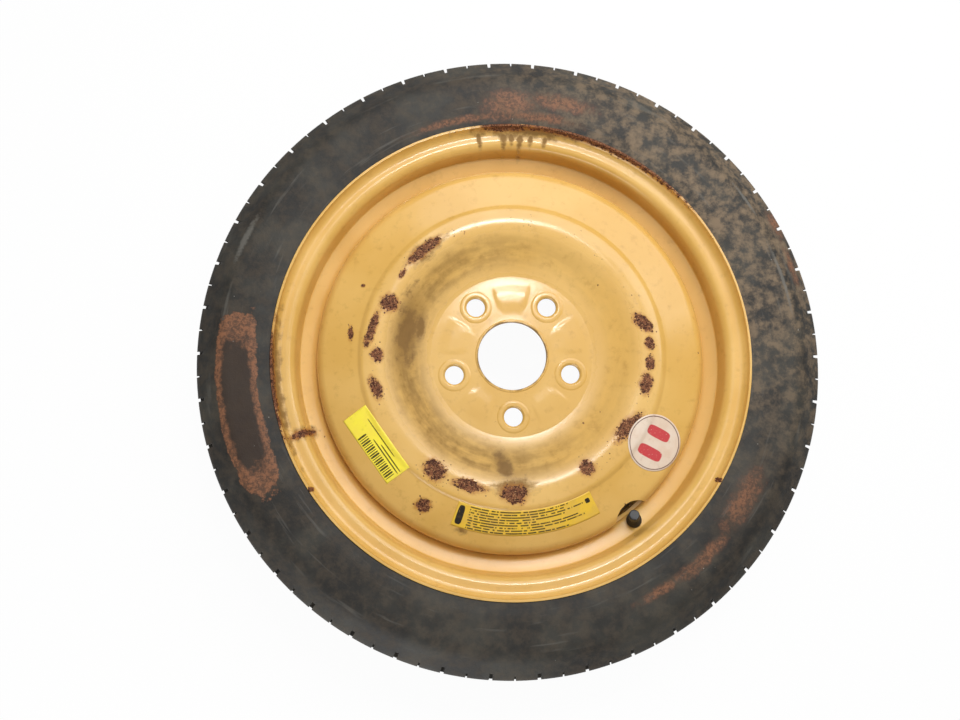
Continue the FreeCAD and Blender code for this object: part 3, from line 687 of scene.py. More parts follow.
@dataclass(frozen=True)
class TyreRubber:
    """Moulded tyre rubber, years old: dark grey bloom, dust, scuffs, and rust stains from storage.

    It is almost matt, with a faint sheen where it was scuffed smooth. On its upper right side the dust colour
    is laid thicker as painted sheen, so that side reads lighter as if lit.
    """

    name: str = "aged_tyre_rubber"
    black: str = "#262421"
    bloom: str = "#3A3832"
    dust_and_sheen: str = "#86725A"
    scuff: str = "#6E6B64"
    stain: str = "#8E5F42"
    stain_dark: str = "#5E4332"
    crust: str = "#3A2B21"
    fleck: str = "#A9A59C"
    rings: tuple[Spot, ...] = (Spot(250.0, 191.0, 18.5, 19.0),)
    stains: tuple[Spot, ...] = (
        Spot(238.0, 90.7, 14.0, 6.0), Spot(245.0, 79.0, 8.0, 7.0), Spot(228.0, 84.0, 5.0, 9.0),
        Spot(244.0, -33.0, 11.0, 7.5), Spot(248.0, -48.0, 6.0, 8.0), Spot(246.0, -58.0, 4.5, 6.0),
        Spot(283.5, 26.7, 9.0, 2.6), Spot(278.0, 18.0, 4.0, 5.0), Spot(228.0, 104.0, 3.5, 12.0),
    )
    scuffs: tuple[Spot, ...] = (
        Spot(267.0, 157.0, 4.0, 6.0), Spot(262.0, 16.0, 2.2, 9.0), Spot(266.0, 34.0, 2.0, 5.0))
    # Side, full width and fade of the extra dust colour, which is painted sheen lightening the tyre's upper
    # right
    sheen_side: float = 36.0
    sheen_core: float = 15.0
    sheen_reach: float = 75.0

    def make(self) -> bpy.types.Material:
        """Builds the material."""
        ink = Painter(self.name)
        radius, angle, ring = ink.polar()
        outboard = ink.ramp(ink.height(), 66.0, 100.0)
        cloud = ink.noise(38.0, 4.0)
        dirt = ink.noise(11.0, 4.0, roughness=0.68)
        grain = ink.noise(3.2, 3.0, roughness=0.7)
        streak = ink.noise(5.0, 3.0, ink.wound(radius, 20.0))

        colour = ink.blend(ink.ramp(cloud, 0.38, 0.68), linear(self.black), linear(self.bloom))
        # Dust colour everywhere, laid thicker towards the upper right side, where the extra is painted sheen
        off_side = ink.maths("ABSOLUTE", ink.maths("SUBTRACT", angle, self.sheen_side))
        sheen_side_share = ink.ramp(off_side, self.sheen_reach, self.sheen_core)
        dust_and_painted_light = ink.maths("MULTIPLY", ink.ramp(dirt, 0.36, 0.7), ink.maths("MULTIPLY_ADD", sheen_side_share, 0.7, 0.14))
        colour = ink.blend(dust_and_painted_light, colour, linear(self.dust_and_sheen))
        worn = ink.maths("MULTIPLY", ink.ramp(streak, 0.6, 0.76), 0.35)
        marks = ink.maths("ADD", ink.nearness(self.scuffs, ring), ink.maths("MULTIPLY_ADD", grain, 1.2, -0.6))
        worn = ink.maths("MAXIMUM", worn, ink.maths("MULTIPLY", ink.ramp(marks, 1.1, 0.3), 0.75))
        colour = ink.blend(worn, colour, linear(self.scuff))

        ragged = ink.maths("MULTIPLY_ADD", dirt, 2.2, -1.1)
        stained = ink.maths("ADD", ink.nearness(self.stains, ring), ragged)
        share = ink.maths("MULTIPLY", ink.ramp(stained, 1.4, 0.2, 0.0, 0.8), outboard)
        tone = ink.blend(ink.ramp(grain, 0.38, 0.62), linear(self.stain_dark), linear(self.stain))
        colour = ink.blend(share, colour, tone)

        away = ink.nearness(self.rings, ring, boxy=True)
        loose = ink.maths("ADD", away, ink.maths("MULTIPLY_ADD", dirt, 0.5, -0.25))
        inside = ink.maths("MULTIPLY", ink.ramp(loose, 1.04, 0.98), outboard)
        band = ink.maths("MULTIPLY", inside, ink.ramp(loose, 0.62, 0.8, 0.0, 0.9))
        colour = ink.blend(ink.maths("MULTIPLY", inside, 0.75), colour, linear(self.crust))
        colour = ink.blend(band, colour, tone)

        flecks = ink.specks(11.0, 0.55, 0.13)
        colour = ink.blend(ink.maths("MULTIPLY", flecks, 0.7), colour, linear(self.fleck))
        matt = ink.maths("MULTIPLY_ADD", dirt, 0.3, 0.5)
        bumps = ink.maths("ADD", ink.maths("MULTIPLY", grain, 0.5), ink.maths("MULTIPLY", dirt, 0.5))
        return ink.finish({"Base Color": colour, "Roughness": matt, "IOR": 1.52, "Specular IOR Level": 0.35},
                          bumps, 0.5)


@dataclass(frozen=True)
class PlainFinish:
    """A small part's finish: one colour with a fine mottle, and a grain that the light catches."""

    name: str
    colour: str
    mottle: str
    grain: float
    roughness: float
    metallic: float = 0.0
    rise: float = 0.03

    def make(self) -> bpy.types.Material:
        """Builds the material."""
        ink = Painter(self.name)
        fine = ink.noise(self.grain, 3.0)
        colour = ink.blend(ink.ramp(fine, 0.35, 0.7), linear(self.colour), linear(self.mottle))
        matt = ink.maths("MULTIPLY_ADD", fine, 0.25, self.roughness - 0.12)
        inputs = {"Base Color": colour, "Roughness": matt, "Metallic": self.metallic}
        return ink.finish(inputs, fine, self.rise)


# Snap-in valve: moulded rubber, a brass tube and core, a hard plastic cap
VALVE_RUBBER = PlainFinish("valve_rubber_moulded", "#1D1C1B", "#33312F", 1.4, 0.62)
CAP_PLASTIC = PlainFinish("valve_cap_polypropylene", "#1B1B1C", "#2A2A2B", 0.8, 0.42)
BRASS = PlainFinish("turned_brass", "#B08D4A", "#8A6B35", 0.7, 0.34, 1.0, 0.01)
SPRING_STEEL = PlainFinish("spring_steel_wire", "#9C9C9E", "#77777A", 0.4, 0.3, 1.0, 0.01)
GASKET = PlainFinish("gasket_ptfe", "#D8D5CD", "#C4C0B6", 0.6, 0.5)


@dataclass(frozen=True)
class PrintLines:
    """A field of fine print that is only broken lines: left end, reach, lowest line, rise and spacing."""

    left: float
    reach: float
    low: float
    rise: float
    pitch: float
    thickness: float = 1.2
    word: float = 3.2
    line_shift: float = 7.3

    def share(self, ink: Painter, sheet: Any) -> Any:
        """Where the print is, from 0 to 1.

        Args:
            ink: The material being made.
            sheet: The label's own millimetres.

        Returns:
            The share's socket.
        """
        apart = ink.add("ShaderNodeSeparateXYZ", {0: sheet})
        along = ink.maths("SUBTRACT", apart.outputs[0], self.left)
        lines = ink.maths("DIVIDE", ink.maths("SUBTRACT", apart.outputs[1], self.low), self.pitch)
        number = ink.maths("FLOOR", lines)
        from_middle = ink.maths("ABSOLUTE", ink.maths("SUBTRACT", ink.maths("FRACT", lines), 0.5))
        on_line = ink.maths("LESS_THAN", from_middle, self.thickness / self.pitch / 2)
        inside = ink.maths("MULTIPLY", ink.maths("GREATER_THAN", lines, 0.0),
                           ink.maths("LESS_THAN", lines, self.rise / self.pitch))
        chance = ink.add("ShaderNodeTexWhiteNoise", {"W": number}, noise_dimensions="1D").outputs["Value"]
        end = ink.maths("MULTIPLY", ink.maths("MULTIPLY_ADD", chance, 0.45, 0.55), self.reach)
        begun = ink.maths("GREATER_THAN", along, 0.0)
        in_reach = ink.maths("MULTIPLY", begun, ink.maths("LESS_THAN", along, end))
        spot = ink.add("ShaderNodeCombineXYZ", {
            0: ink.maths("DIVIDE", along, self.word), 1: ink.maths("MULTIPLY", number, self.line_shift)})
        words = ink.add("ShaderNodeTexNoise", {"Vector": spot, "Scale": 1.0, "Detail": 1.0}).outputs[0]
        printed = ink.maths("MULTIPLY", ink.maths("MULTIPLY", on_line, inside), in_reach)
        return ink.maths("MULTIPLY", printed, ink.ramp(words, 0.4, 0.46)).outputs[0]


@dataclass(frozen=True)
class PrintedPaper:
    """Coated paper with plain printed fields: smooth, half matt, a little faded and scuffed.

    The print is simple bars and blocks, and reads no more than that.
    """

    name: str
    paper: str
    faded: str
    ink: str
    bars: tuple[Spot, ...]
    blocks: tuple[Spot, ...] = ()
    block_ink: str = "#26221B"
    rim_radius: float = 0.0
    rim_width: float = 0.0
    rim_ink: str = "#4A3A34"
    softness: float = 0.04
    lines: PrintLines | None = None
    dirt: str = "#8A6A34"

    def make(self) -> bpy.types.Material:
        """Builds the material."""
        ink = Painter(self.name)
        sheet = ink.add("ShaderNodeUVMap", uv_map="label").outputs[0]
        cloud = ink.noise(14.0, 4.0)
        grain = ink.noise(1.6, 3.0)
        colour = ink.blend(ink.ramp(cloud, 0.35, 0.7), linear(self.paper), linear(self.faded))
        worn = ink.ramp(grain, 0.82, 0.6)
        for patches, tone in ((self.bars, self.ink), (self.blocks, self.block_ink)):
            if patches:
                away = ink.nearness(patches, sheet, boxy=True)
                share = ink.maths("MULTIPLY", ink.ramp(away, 1.0 + self.softness, 1.0 - self.softness), worn)
                colour = ink.blend(share, colour, linear(tone))
        if self.lines is not None:
            share = ink.maths("MULTIPLY", self.lines.share(ink, sheet), worn)
            colour = ink.blend(share, colour, linear(self.ink))
        if self.rim_radius > 0:
            out = ink.add("ShaderNodeVectorMath", {0: sheet}, operation="LENGTH").outputs["Value"]
            off = ink.maths("ABSOLUTE", ink.maths("SUBTRACT", out, self.rim_radius))
            share = ink.maths("MULTIPLY", ink.ramp(off, self.rim_width, self.rim_width * 0.6), worn)
            colour = ink.blend(share, colour, linear(self.rim_ink))
        dirt = ink.maths("MULTIPLY", ink.ramp(ink.noise(6.0, 4.0), 0.55, 0.8), 0.25)
        colour = ink.blend(dirt, colour, linear(self.dirt))
        matt = ink.maths("MULTIPLY_ADD", cloud, 0.2, 0.3)
        return ink.finish({"Base Color": colour, "Roughness": matt, "IOR": 1.48}, cloud, 0.12)


@dataclass
class Tyre:
    """The narrow tyre, one moulded piece, made as one pitch of its tread and repeated round."""

    radius: float = 293.0
    crown_half: float = 22.0
    tread_half: float = 49.0
    shoulder_drop: float = 4.0
    groove_half: float = 3.0
    groove_depth: float = 3.5
    groove_pitch: float = 24.0
    pitches: int = 42
    notch_half: float = 1.6
    notch_depth: float = 3.2
    notch_start: float = 37.0
    notch_slope: float = 0.2
    sipe_half: float = 0.8
    sipe_depth: float = 2.2
    sipe_start: float = 41.0
    wall_gap: float = 0.1
    rib_radius: float = 231.0
    rib_rise: float = 0.7
    rib_half: float = 1.5
    line_radius: float = 271.0
    line_rise: float = 0.5
    line_half: float = 0.9
    width: float = 130.0
    sidewall_start: float = 55.0
    crown_reach: float = 48.0
    shoulder_start: float = 45.0
    wall_radius: float = 270.0
    land_marks: tuple[float, ...] = (9.0, 15.0, 32.0, 44.0)
    land_angles: tuple[float, ...] = (1.8, 3.2, 5.4)
    wall_path: tuple[Corner, ...] = (
        (266.0, 130.0, 26.0), (236.0, 130.0, 26.0), (220.4, 126.4, 0.4), (220.4, 115.8, 9.3),
        (202.8, 115.8, 7.5), (201.49, 100.8))
    liner_path: tuple[Corner, ...] = (
        (201.49, 100.8), (224.0, 111.05, 16.0), (239.25, 123.5, 16.0), (262.75, 123.5, 16.0),
        (282.5, 110.75, 16.0), (282.5, MID))

    def section(self) -> tuple[np.ndarray, np.ndarray]:
        """The outside half section from the crown to the toe, and the liner back to the crown."""
        outside = rounded([
            (self.radius, MID), (self.radius, MID + self.crown_half, 150.0),
            (self.radius - self.shoulder_drop, MID + self.tread_half, 7.0), *self.wall_path], 9.0)
        return split_runs(outside, 4.0), split_runs(rounded(self.liner_path, 18.0), 18.0)

    def rows(self) -> tuple[np.ndarray, int]:
        """The closed section's rows, and how many of them are on the outboard outside."""
        outside, liner = self.section()
        across = outside[:, 1] - MID
        groove = self.groove_pitch
        gap = self.wall_gap
        half = self.groove_half
        edges = (half, groove - half, groove + half, self.notch_start, self.sipe_start)
        marks = sorted([0.0, groove, *self.land_marks, *(e - gap for e in edges), *(e + gap for e in edges)])
        near = across < self.crown_reach
        crown = np.column_stack([np.interp(marks, across[near], outside[near, 0]), np.add(marks, MID)])
        rest = outside[(across > self.shoulder_start) | (outside[:, 0] < self.wall_radius)]
        front = np.vstack([crown, rest])
        inside = liner[1:]
        mirror = np.array([1.0, -1.0])
        turn = np.array([0.0, 2 * MID])
        inboard = [(run * mirror + turn)[::-1] for run in (inside[:-1], front[1:])]
        return np.vstack([front, inside, *inboard]), len(front)

    def depth(self, row: np.ndarray, angle: float) -> float:
        """How far a point of the outside is cut in.

        Args:
            row: The point's radius and height.
            angle: Its angle within the pitch, in degrees from the notch.

        Returns:
            The depth in millimetres.
        """
        across = abs(row[1] - MID)
        along = math.radians(abs(angle)) * row[0]
        beyond = math.radians(abs(angle - 180 / self.pitches)) * row[0]
        depth = 0.0
        if across < self.groove_half or abs(across - self.groove_pitch) < self.groove_half:
            depth = self.groove_depth
        for near, half, deep, start in (
                (along, self.notch_half, self.notch_depth, self.notch_start),
                (beyond, self.sipe_half, self.sipe_depth, self.sipe_start)):
            if near < half and across > start:
                floor = self.radius - self.shoulder_drop - deep - self.notch_slope * (across - start)
                depth = max(depth, row[0] - floor)
        return depth

    def build(self, shop: Workshop, finish: bpy.types.Material) -> bpy.types.Object:
        """Makes the tyre.

        Args:
            shop: The shared trees.
            finish: The rubber.

        Returns:
            The finished piece.
        """
        rows, front = self.rows()
        pitch = 360 / self.pitches
        gap = math.degrees(self.wall_gap / self.radius)
        notch = math.degrees(self.notch_half / self.radius)
        sipe = math.degrees(self.sipe_half / self.radius)
        middle = pitch / 2
        edges = (-notch, notch, middle - sipe, middle + sipe)
        angles = sorted([-pitch / 4, 3 * pitch / 4, *self.land_angles,
                         *(e - gap for e in edges), *(e + gap for e in edges)])
        outside = set(range(front)) | set(range(len(rows) - front + 1, len(rows)))
        points = []
        for number, row in enumerate(np.vstack([rows, rows[:1]])):
            number %= len(rows)
            for angle in angles:
                radius, height = row
                if number in outside:
                    radius -= self.depth(row, angle)
                    if abs(height - MID) > self.sidewall_start:
                        lift = self.rib_rise * math.exp(-((row[0] - self.rib_radius) / self.rib_half) ** 2)
                        off_line = (row[0] - self.line_radius) / self.line_half
                        lift += self.line_rise * math.exp(-off_line ** 2)
                        room = self.width - row[1] if height > MID else row[1]
                        height += math.copysign(min(lift, room), height - MID)
                turn = math.radians(angle)
                points.append((radius * math.cos(turn), radius * math.sin(turn), height))
        piece = new_piece("tyre_body", np.array(points), grid_faces(len(rows) + 1, len(angles)))
        shop.repeated(piece, self.pitches, finish, Shading.PRESSED)
        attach(piece, WHEEL_BODY)
        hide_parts("tyre")
        return piece


@dataclass
class Rim:
    """The rolled rim: curled lips, flanges, tapered bead seats and the drop well."""

    wall: float = 2.2
    segments: int = 256
    curl_steps: int = 6
    lowest: float = 2.4
    highest: float = 127.6
    half_path: tuple[Corner, ...] = (
        (220.1, 127.0), (220.1, 115.8, 9.0), (202.8, 115.8, 6.5), (200.92, 94.3, 4.0), (184.9, 88.47, 2.5))
    inboard_path: tuple[Corner, ...] = (
        (184.9, 54.47, 2.5), (200.92, 35.7, 4.0), (202.8, 14.2, 6.5), (220.1, 14.2, 9.0), (220.1, 3.0))

    def build(self, shop: Workshop, finish: bpy.types.Material) -> bpy.types.Object:
        """Makes the rim.

        Args:
            shop: The shared trees.
            finish: The enamel.

        Returns:
            The finished piece.
        """
        path = split_runs(rounded([*self.half_path, *self.inboard_path], 8.0), 6.0)
        inner = beside(path, -self.wall)
        ends = []
        for edge, mate, way in ((path[-1], inner[-1], -1.0), (inner[0], path[0], 1.0)):
            centre = (edge + mate) / 2
            arm = edge - centre
            for k in range(1, self.curl_steps):
                turn = math.pi * k / self.curl_steps
                bulge = np.array([0.0, way * self.wall / 2]) * math.sin(turn)
                ends.append(centre + arm * math.cos(turn) + bulge)
        low_end, high_end = np.split(np.array(ends), 2)
        outline = np.vstack([path, low_end, inner[::-1], high_end])
        outline[:, 1] = np.clip(outline[:, 1], self.lowest, self.highest)
        piece = shop.turned("rim_shell", outline, self.segments, finish, Shading.PRESSED)
        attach(piece, WHEEL_BODY)
        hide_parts("rim")
        return piece


@dataclass
class Disc:
    """The pressed disc: hub pad with raised kidneys, bowl, crown, stepped band, skirt and valve notch."""

    wall: float = 3.2
    columns: int = 300
    seam_reach: float = 9.0
    seam_steps: int = 14
    skirt_radius: float = 182.65
    back_height: float = 105.0
    face_start: float = 36.0
    pad_end: float = 76.0
    pad_step: float = 1.15
    plain_step: float = 5.0
    notch_rows: int = 13
    row_gap: float = 0.02
    path: tuple[Corner, ...] = (
        (32.05, 108.2), (32.05, 109.0, 0.4), (33.7, 109.0, 0.7), (34.65, 108.2, 0.5), (76.0, 108.2, 3.5),
        (98.0, 112.8, 60.0), (124.0, 122.5, 40.0), (139.0, 120.5, 8.0), (142.8, 117.65, 5.0),
        (182.65, 107.5, 12.0), (182.65, 77.5))
    lug_circle: float = 57.15
    lug_start: float = 54.7
    lugs: int = 5
    lug_cut: float = 15.2
    lug_pull: float = 2.5
    seat_segments: int = 72
    seat_path: tuple[Corner, ...] = (
        (15.3, 105.0), (15.3, 108.15), (15.3, 108.22), (13.8, 108.85, 3.0), (10.4, 108.85, 1.2),
        (8.7, 107.2, 1.0), (8.7, 105.0))
    rib_inner: float = 47.5
    rib_outer: float = 65.5
    rib_half_angle: float = 15.0
    rib_round: float = 6.0
    rib_rise: float = 0.65
    rib_fade: float = 2.8
    notch_angle: float = -53.2
    notch_radius: float = 20.0
    notch_centre: float = 191.3
    notch_floor: float = 90.47

    def lug_spots(self) -> list[np.ndarray]:
        """Where the lug holes' middles are, as x and y."""
        turns = [math.radians(self.lug_start + 360 * k / self.lugs) for k in range(self.lugs)]
        return [self.lug_circle * np.array([math.cos(turn), math.sin(turn)]) for turn in turns]

    def sampled(self) -> np.ndarray:
        """The outboard path, fine where ribs, the notch and rounds need it."""
        path = rounded(self.path, 7.0)
        fine = []
        for start, end in zip(path, path[1:]):
            length = float(np.linalg.norm(end - start))
            flat_pad = self.face_start < start[0] < self.pad_end and abs(start[1] - end[1]) < 0.5
            step = self.pad_step if flat_pad else self.plain_step
            count = max(1, math.ceil(length / step))
            fine.extend(start + (end - start) * (k / count) for k in range(count))
        fine.append(path[-1])
        rows = np.array(fine)
        apex = self.notch_centre - self.notch_radius
        for radius in [apex + self.row_gap + 0.045 * k * k for k in range(self.notch_rows)]:
            band = rows[:, 1] > self.back_height
            top = int(np.searchsorted(rows[band, 0], radius))
            height = np.interp(radius, rows[band, 0], rows[band, 1])
            if 0 < top < band.sum():
                rows = np.insert(rows, top, (radius, height), axis=0)
        for height in (self.notch_floor + self.row_gap, self.notch_floor - self.row_gap):
            below = int(np.argmax((rows[:, 1] < height) & (rows[:, 0] > 180)))
            rows = np.insert(rows, below, (rows[below, 0], height), axis=0)
        return rows

    def face_height(self, radius: np.ndarray) -> np.ndarray:
        """Height of the outboard face at some radii, outside the bore lip."""
        rows = self.sampled()
        top = rows[(rows[:, 0] > self.face_start) & (rows[:, 1] > 104)]
        return np.interp(radius, top[:, 0], top[:, 1])

    def notch_half_angle(self, row: np.ndarray) -> float:
        """Half the angle that the valve notch takes from a row, in degrees."""
        if row[0] <= self.notch_centre - self.notch_radius or row[1] < self.notch_floor:
            return 0.0
        centre = self.notch_centre
        share = (row[0] ** 2 + centre ** 2 - self.notch_radius ** 2) / (2 * row[0] * centre)
        return math.degrees(math.acos(min(1.0, share)))

    def lift(self, x: np.ndarray, y: np.ndarray) -> np.ndarray:
        """How far the kidneys raise the pad at some places.

        Args:
            x: Places across.
            y: Places up the face.

        Returns:
            The rise at each place.
        """
        radius = np.hypot(x, y)
        turn = np.degrees(np.arctan2(y, x)) - self.lug_start - 180 / self.lugs
        turn = (turn + 180 / self.lugs) % (360 / self.lugs) - 180 / self.lugs
        middle = (self.rib_inner + self.rib_outer) / 2
        across = np.abs(radius - middle) - (self.rib_outer - self.rib_inner) / 2 + self.rib_round
        reach = math.radians(self.rib_half_angle) * radius
        along = np.abs(np.radians(turn)) * radius - reach + self.rib_round
        outer = np.hypot(np.maximum(across, 0), np.maximum(along, 0))
        edge = outer + np.minimum(np.maximum(across, along), 0) - self.rib_round
        share = np.clip(0.5 - edge / self.rib_fade, 0, 1)
        return self.rib_rise * share * share * (3 - 2 * share)

    def build(self, finish: bpy.types.Material) -> bpy.types.Object:
        """Makes the disc as a closed sheet.

        Args:
            finish: The enamel.

        Returns:
            The finished piece.
        """
        outer = self.sampled()
        inner = beside(outer, -self.wall)
        inner[:, 0] = np.minimum(inner[:, 0], self.skirt_radius - self.wall)
        inner[outer[:, 0] < 70, 1] = self.back_height
        inner[:, 0] = np.where(outer[:, 0] < self.face_start, outer[:, 0], inner[:, 0])
        count = self.columns
        fine = np.linspace(0, 1, self.seam_steps)
        points = []
        for sheet in (outer, inner):
            for row, mate in zip(sheet, outer):
                gap = self.notch_half_angle(mate)
                near = gap + (self.seam_reach - gap) * fine
                wide = np.linspace(self.seam_reach, 360 - self.seam_reach, count)[1:-1]
                turns = np.radians(self.notch_angle + np.concatenate([near, wide, 360 - near[::-1]]))
                points.append(np.column_stack([row[0] * np.cos(turns), row[0] * np.sin(turns),
                                               np.full(len(turns), row[1])]))
        across = len(points[0])
        rows = len(outer)
        cloud = np.vstack(points)
        pad = np.hypot(cloud[:, 0], cloud[:, 1]) < 75
        cloud[pad, 2] += self.lift(cloud[pad, 0], cloud[pad, 1])

        grid = cloud[:rows * across].reshape(rows, across, 3)
        keep = np.ones((rows - 1, across - 1), bool)
        cells = (grid[:-1, :-1] + grid[1:, :-1] + grid[:-1, 1:] + grid[1:, 1:]) / 4
        for spot in self.lug_spots():
            keep &= np.hypot(cells[..., 0] - spot[0], cells[..., 1] - spot[1]) > self.lug_cut
        full = np.pad(keep, 1, constant_values=True)
        corner = ~(full[:-1, :-1] & full[:-1, 1:] & full[1:, :-1] & full[1:, 1:])
        for spot in self.lug_spots():
            for sheet in (0, rows * across):
                flat = cloud[sheet:sheet + rows * across].reshape(rows, across, 3)
                arm = flat[..., :2] - spot
                away = np.hypot(arm[..., 0], arm[..., 1])
                near = corner & (away < self.lug_cut + self.lug_pull) & (away > 1.0)
                flat[near, :2] = spot + arm[near] * (self.lug_cut / away[near])[:, None]

        faces = grid_faces(rows, across, keep)
        faces += grid_faces(rows, across, keep, rows * across, flip=True)
        for r in (0, rows - 1):
            for c in range(across - 1):
                a, b = r * across + c, rows * across + r * across + c
                faces.append((a, a + 1, b + 1, b))
        for r in range(rows - 1):
            for c in (0, across - 1):
                if self.notch_half_angle(outer[r]) > 0 or self.notch_half_angle(outer[r + 1]) > 0:
                    a, b = r * across + c, rows * across + r * across + c
                    faces.append((a, a + across, b + across, b))
        piece = new_piece("disc_pressing", cloud, faces)
        side = piece.data.attributes.new("outboard", "FLOAT", "POINT")
        side.data.foreach_set("value", np.repeat([1.0, 0.0], rows * across))
        finish_mesh(piece.data, Shading.PRESSED)
        piece.data.materials.append(finish)
        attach(piece, WHEEL_BODY)
        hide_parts("disc")
        return piece

    def build_seats(self, shop: Workshop, finish: bpy.types.Material) -> bpy.types.Object:
        """Makes the five dished lug seats.

        Args:
            shop: The shared trees.
            finish: The enamel.

        Returns:
            The seats, one piece.
        """
        top = rounded(self.seat_path, 12.0)
        seat = shop.turned("lug_seats", top, self.seat_segments, finish, Shading.PRESSED)
        seat.data.transform(Matrix.Translation(Vector((*self.lug_spots()[0], 0.0)) * MM))
        shop.repeated(seat, self.lugs, finish, Shading.PRESSED)
        side = seat.data.attributes.new("outboard", "FLOAT", "POINT")
        side.data.foreach_set("value", [1.0] * len(seat.data.vertices))
        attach(seat, WHEEL_BODY)
        return seat


@dataclass
class Welds:
    """The arc welds that hold the disc's skirt in the rim's well."""

    count: int = 8
    arc: float = 22.0
    leg: float = 4.5
    throat: float = 3.4
    well: float = 182.7
    skirt_end: float = 77.5
    skirt_wall: float = 3.25
    ripples: int = 17
    ripple_depth: float = 0.06
    end_size: float = 0.25
    end_growth: float = 9.0
    steps: int = 120

    def build(self, shop: Workshop, finish: bpy.types.Material) -> bpy.types.Object:
        """Makes the beads with the ripples that the torch left.

        Args:
            shop: The shared trees.
            finish: The enamel over the weld.

        Returns:
            The eight beads, one piece.
        """
        steps = self.steps
        face = rounded([(self.well - self.skirt_wall, self.skirt_end),
                        (self.well - self.leg * 0.5, self.skirt_end - self.throat * 0.9, 1.6),
                        (self.well, self.skirt_end - self.leg)], 14.0)
        back = np.array([[self.well, self.skirt_end]])
        loop = np.vstack([back, face, back])
        root = np.array([self.well - 0.4, self.skirt_end - 0.3])
        points = []
        for k in range(steps + 1):
            share = k / steps
            ripple = 1 - self.ripple_depth + self.ripple_depth * abs(math.sin(math.pi * self.ripples * share))
            end = min(1.0, self.end_size + self.end_growth * min(share, 1 - share))
            scale = ripple * end
            turn = math.radians(self.arc * share)
            for spot in loop:
                radius, height = root + (spot - root) * scale
                points.append((radius * math.cos(turn), radius * math.sin(turn), height))
        faces = grid_faces(steps + 1, len(loop))
        faces += [tuple(range(len(loop) - 1)), tuple(range(steps * len(loop), (steps + 1) * len(loop) - 1))]
        piece = new_piece("weld_runs", np.array(points), faces)
        shop.repeated(piece, self.count, finish, Shading.SOFT)
        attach(piece, WHEEL_BODY)
        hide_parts("weld_beads")
        return piece


@dataclass
class Valve:
    """The snap-in valve, which stands square to the rim's sloping ledge and leans inwards."""

    angle: float = -53.2
    radius: float = 190.4
    lean: float = 20.0
    seat_height: float = 92.8126
    root: float = 7.5
    stem: tuple[Corner, ...] = (
        (3.0, 0.0), (5.8, 0.0, 0.8), (7.3, 5.1, 0.7), (5.7, 5.15), (5.7, 7.65), (6.6, 7.7), (7.2, 9.0, 1.0),
        (7.0, 11.4, 1.8), (4.95, 16.2, 3.0), (4.9, 20.0, 0.5), (3.0, 20.0))
    cap_radius: float = 5.0
    cap_bore: float = 3.95
    cap_low: float = 20.5
    cap_ceiling: float = 29.05
    cap_top: float = 30.65
    cap_ribs: int = 18
    cap_rib_depth: float = 0.42
    cap_rib_steps: int = 8
    cap_rib_low: float = 0.6
    cap_rib_high: float = 1.2
    cap_edge_cut: float = 0.12
    stem_segments: int = 64

    def axis_place(self) -> Matrix:
        """The matrix from the valve's own axis to the wheel, in metres."""
        turn = math.radians(self.angle)
        lean = math.radians(self.lean)
        axis = Vector((-math.sin(lean) * math.cos(turn), -math.sin(lean) * math.sin(turn), math.cos(lean)))
        seat = Vector((self.radius * math.cos(turn), self.radius * math.sin(turn), self.seat_height))
        spin = axis.to_track_quat("Z", "Y").to_matrix().to_4x4()
        return Matrix.Translation((seat - axis * self.root) * MM) @ spin

    def build_stem(self, shop: Workshop, finish: bpy.types.Material) -> bpy.types.Object:
        """Makes the rubber body.

        Args:
            shop: The shared trees.
            finish: The rubber.

        Returns:
            The finished piece.
        """
        outline = rounded(self.stem, 12.0)
        piece = shop.turned("valve_body", outline, self.stem_segments, finish, Shading.PRESSED)
        piece.data.transform(self.axis_place())
        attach(piece, WHEEL_BODY)
        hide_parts("valve_stem")
        return piece

    def build_cap(self, finish: bpy.types.Material) -> bpy.types.Object:
        """Makes the screw cap with its grip ribs.

        Args:
            finish: The plastic.

        Returns:
            The finished piece.
        """
        outer = rounded([(self.cap_bore, self.cap_low), (self.cap_radius, self.cap_low, 0.3),
                         (self.cap_radius, self.cap_top, 1.3), (0.0, self.cap_top)], 14.0)
        inner = np.array([(0.0, self.cap_ceiling), (self.cap_bore, self.cap_ceiling),
                          (self.cap_bore, self.cap_low)])
        rows = np.vstack([split_runs(outer, 1.2), inner])
        count = self.cap_ribs * self.cap_rib_steps
        points = []
        for radius, height in rows:
            in_grip = self.cap_low + self.cap_rib_low < height < self.cap_top - self.cap_rib_high
            ribbed = in_grip and radius > self.cap_radius - 0.3
            plain_cut = self.cap_edge_cut if radius > self.cap_radius - 0.1 else 0.0
            for k in range(count + 1):
                turn = math.tau * k / count
                flute = max(0.0, math.cos(turn * self.cap_ribs)) ** 0.7
                cut = self.cap_rib_depth * (1 - flute) if ribbed else plain_cut
                points.append(((radius - cut) * math.cos(turn), (radius - cut) * math.sin(turn), height))
        piece = new_piece("valve_cap_body", np.array(points), grid_faces(len(rows), count + 1))
        finish_mesh(piece.data, Shading.PRESSED)
        piece.data.materials.append(finish)
        piece.data.transform(self.axis_place())
        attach(piece, "valve_cap")
        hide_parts("valve_cap")
        return piece

    def dress_inside(self) -> None:
        """Gives the valve's CAD nodes their finishes."""
        brass = BRASS.make()
        rubber = VALVE_RUBBER.make()
        finishes = {
            "valve_insert": brass, "valve_core_head": brass, "valve_core_barrel": brass,
            "valve_core_pin": brass, "valve_core_gasket": GASKET.make(), "valve_core_seal": rubber,
            "valve_cap_seal": rubber, "valve_core_spring": SPRING_STEEL.make(),
        }
        for node, finish in finishes.items():
            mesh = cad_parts[node].data
            mesh.materials.clear()
            mesh.materials.append(finish)


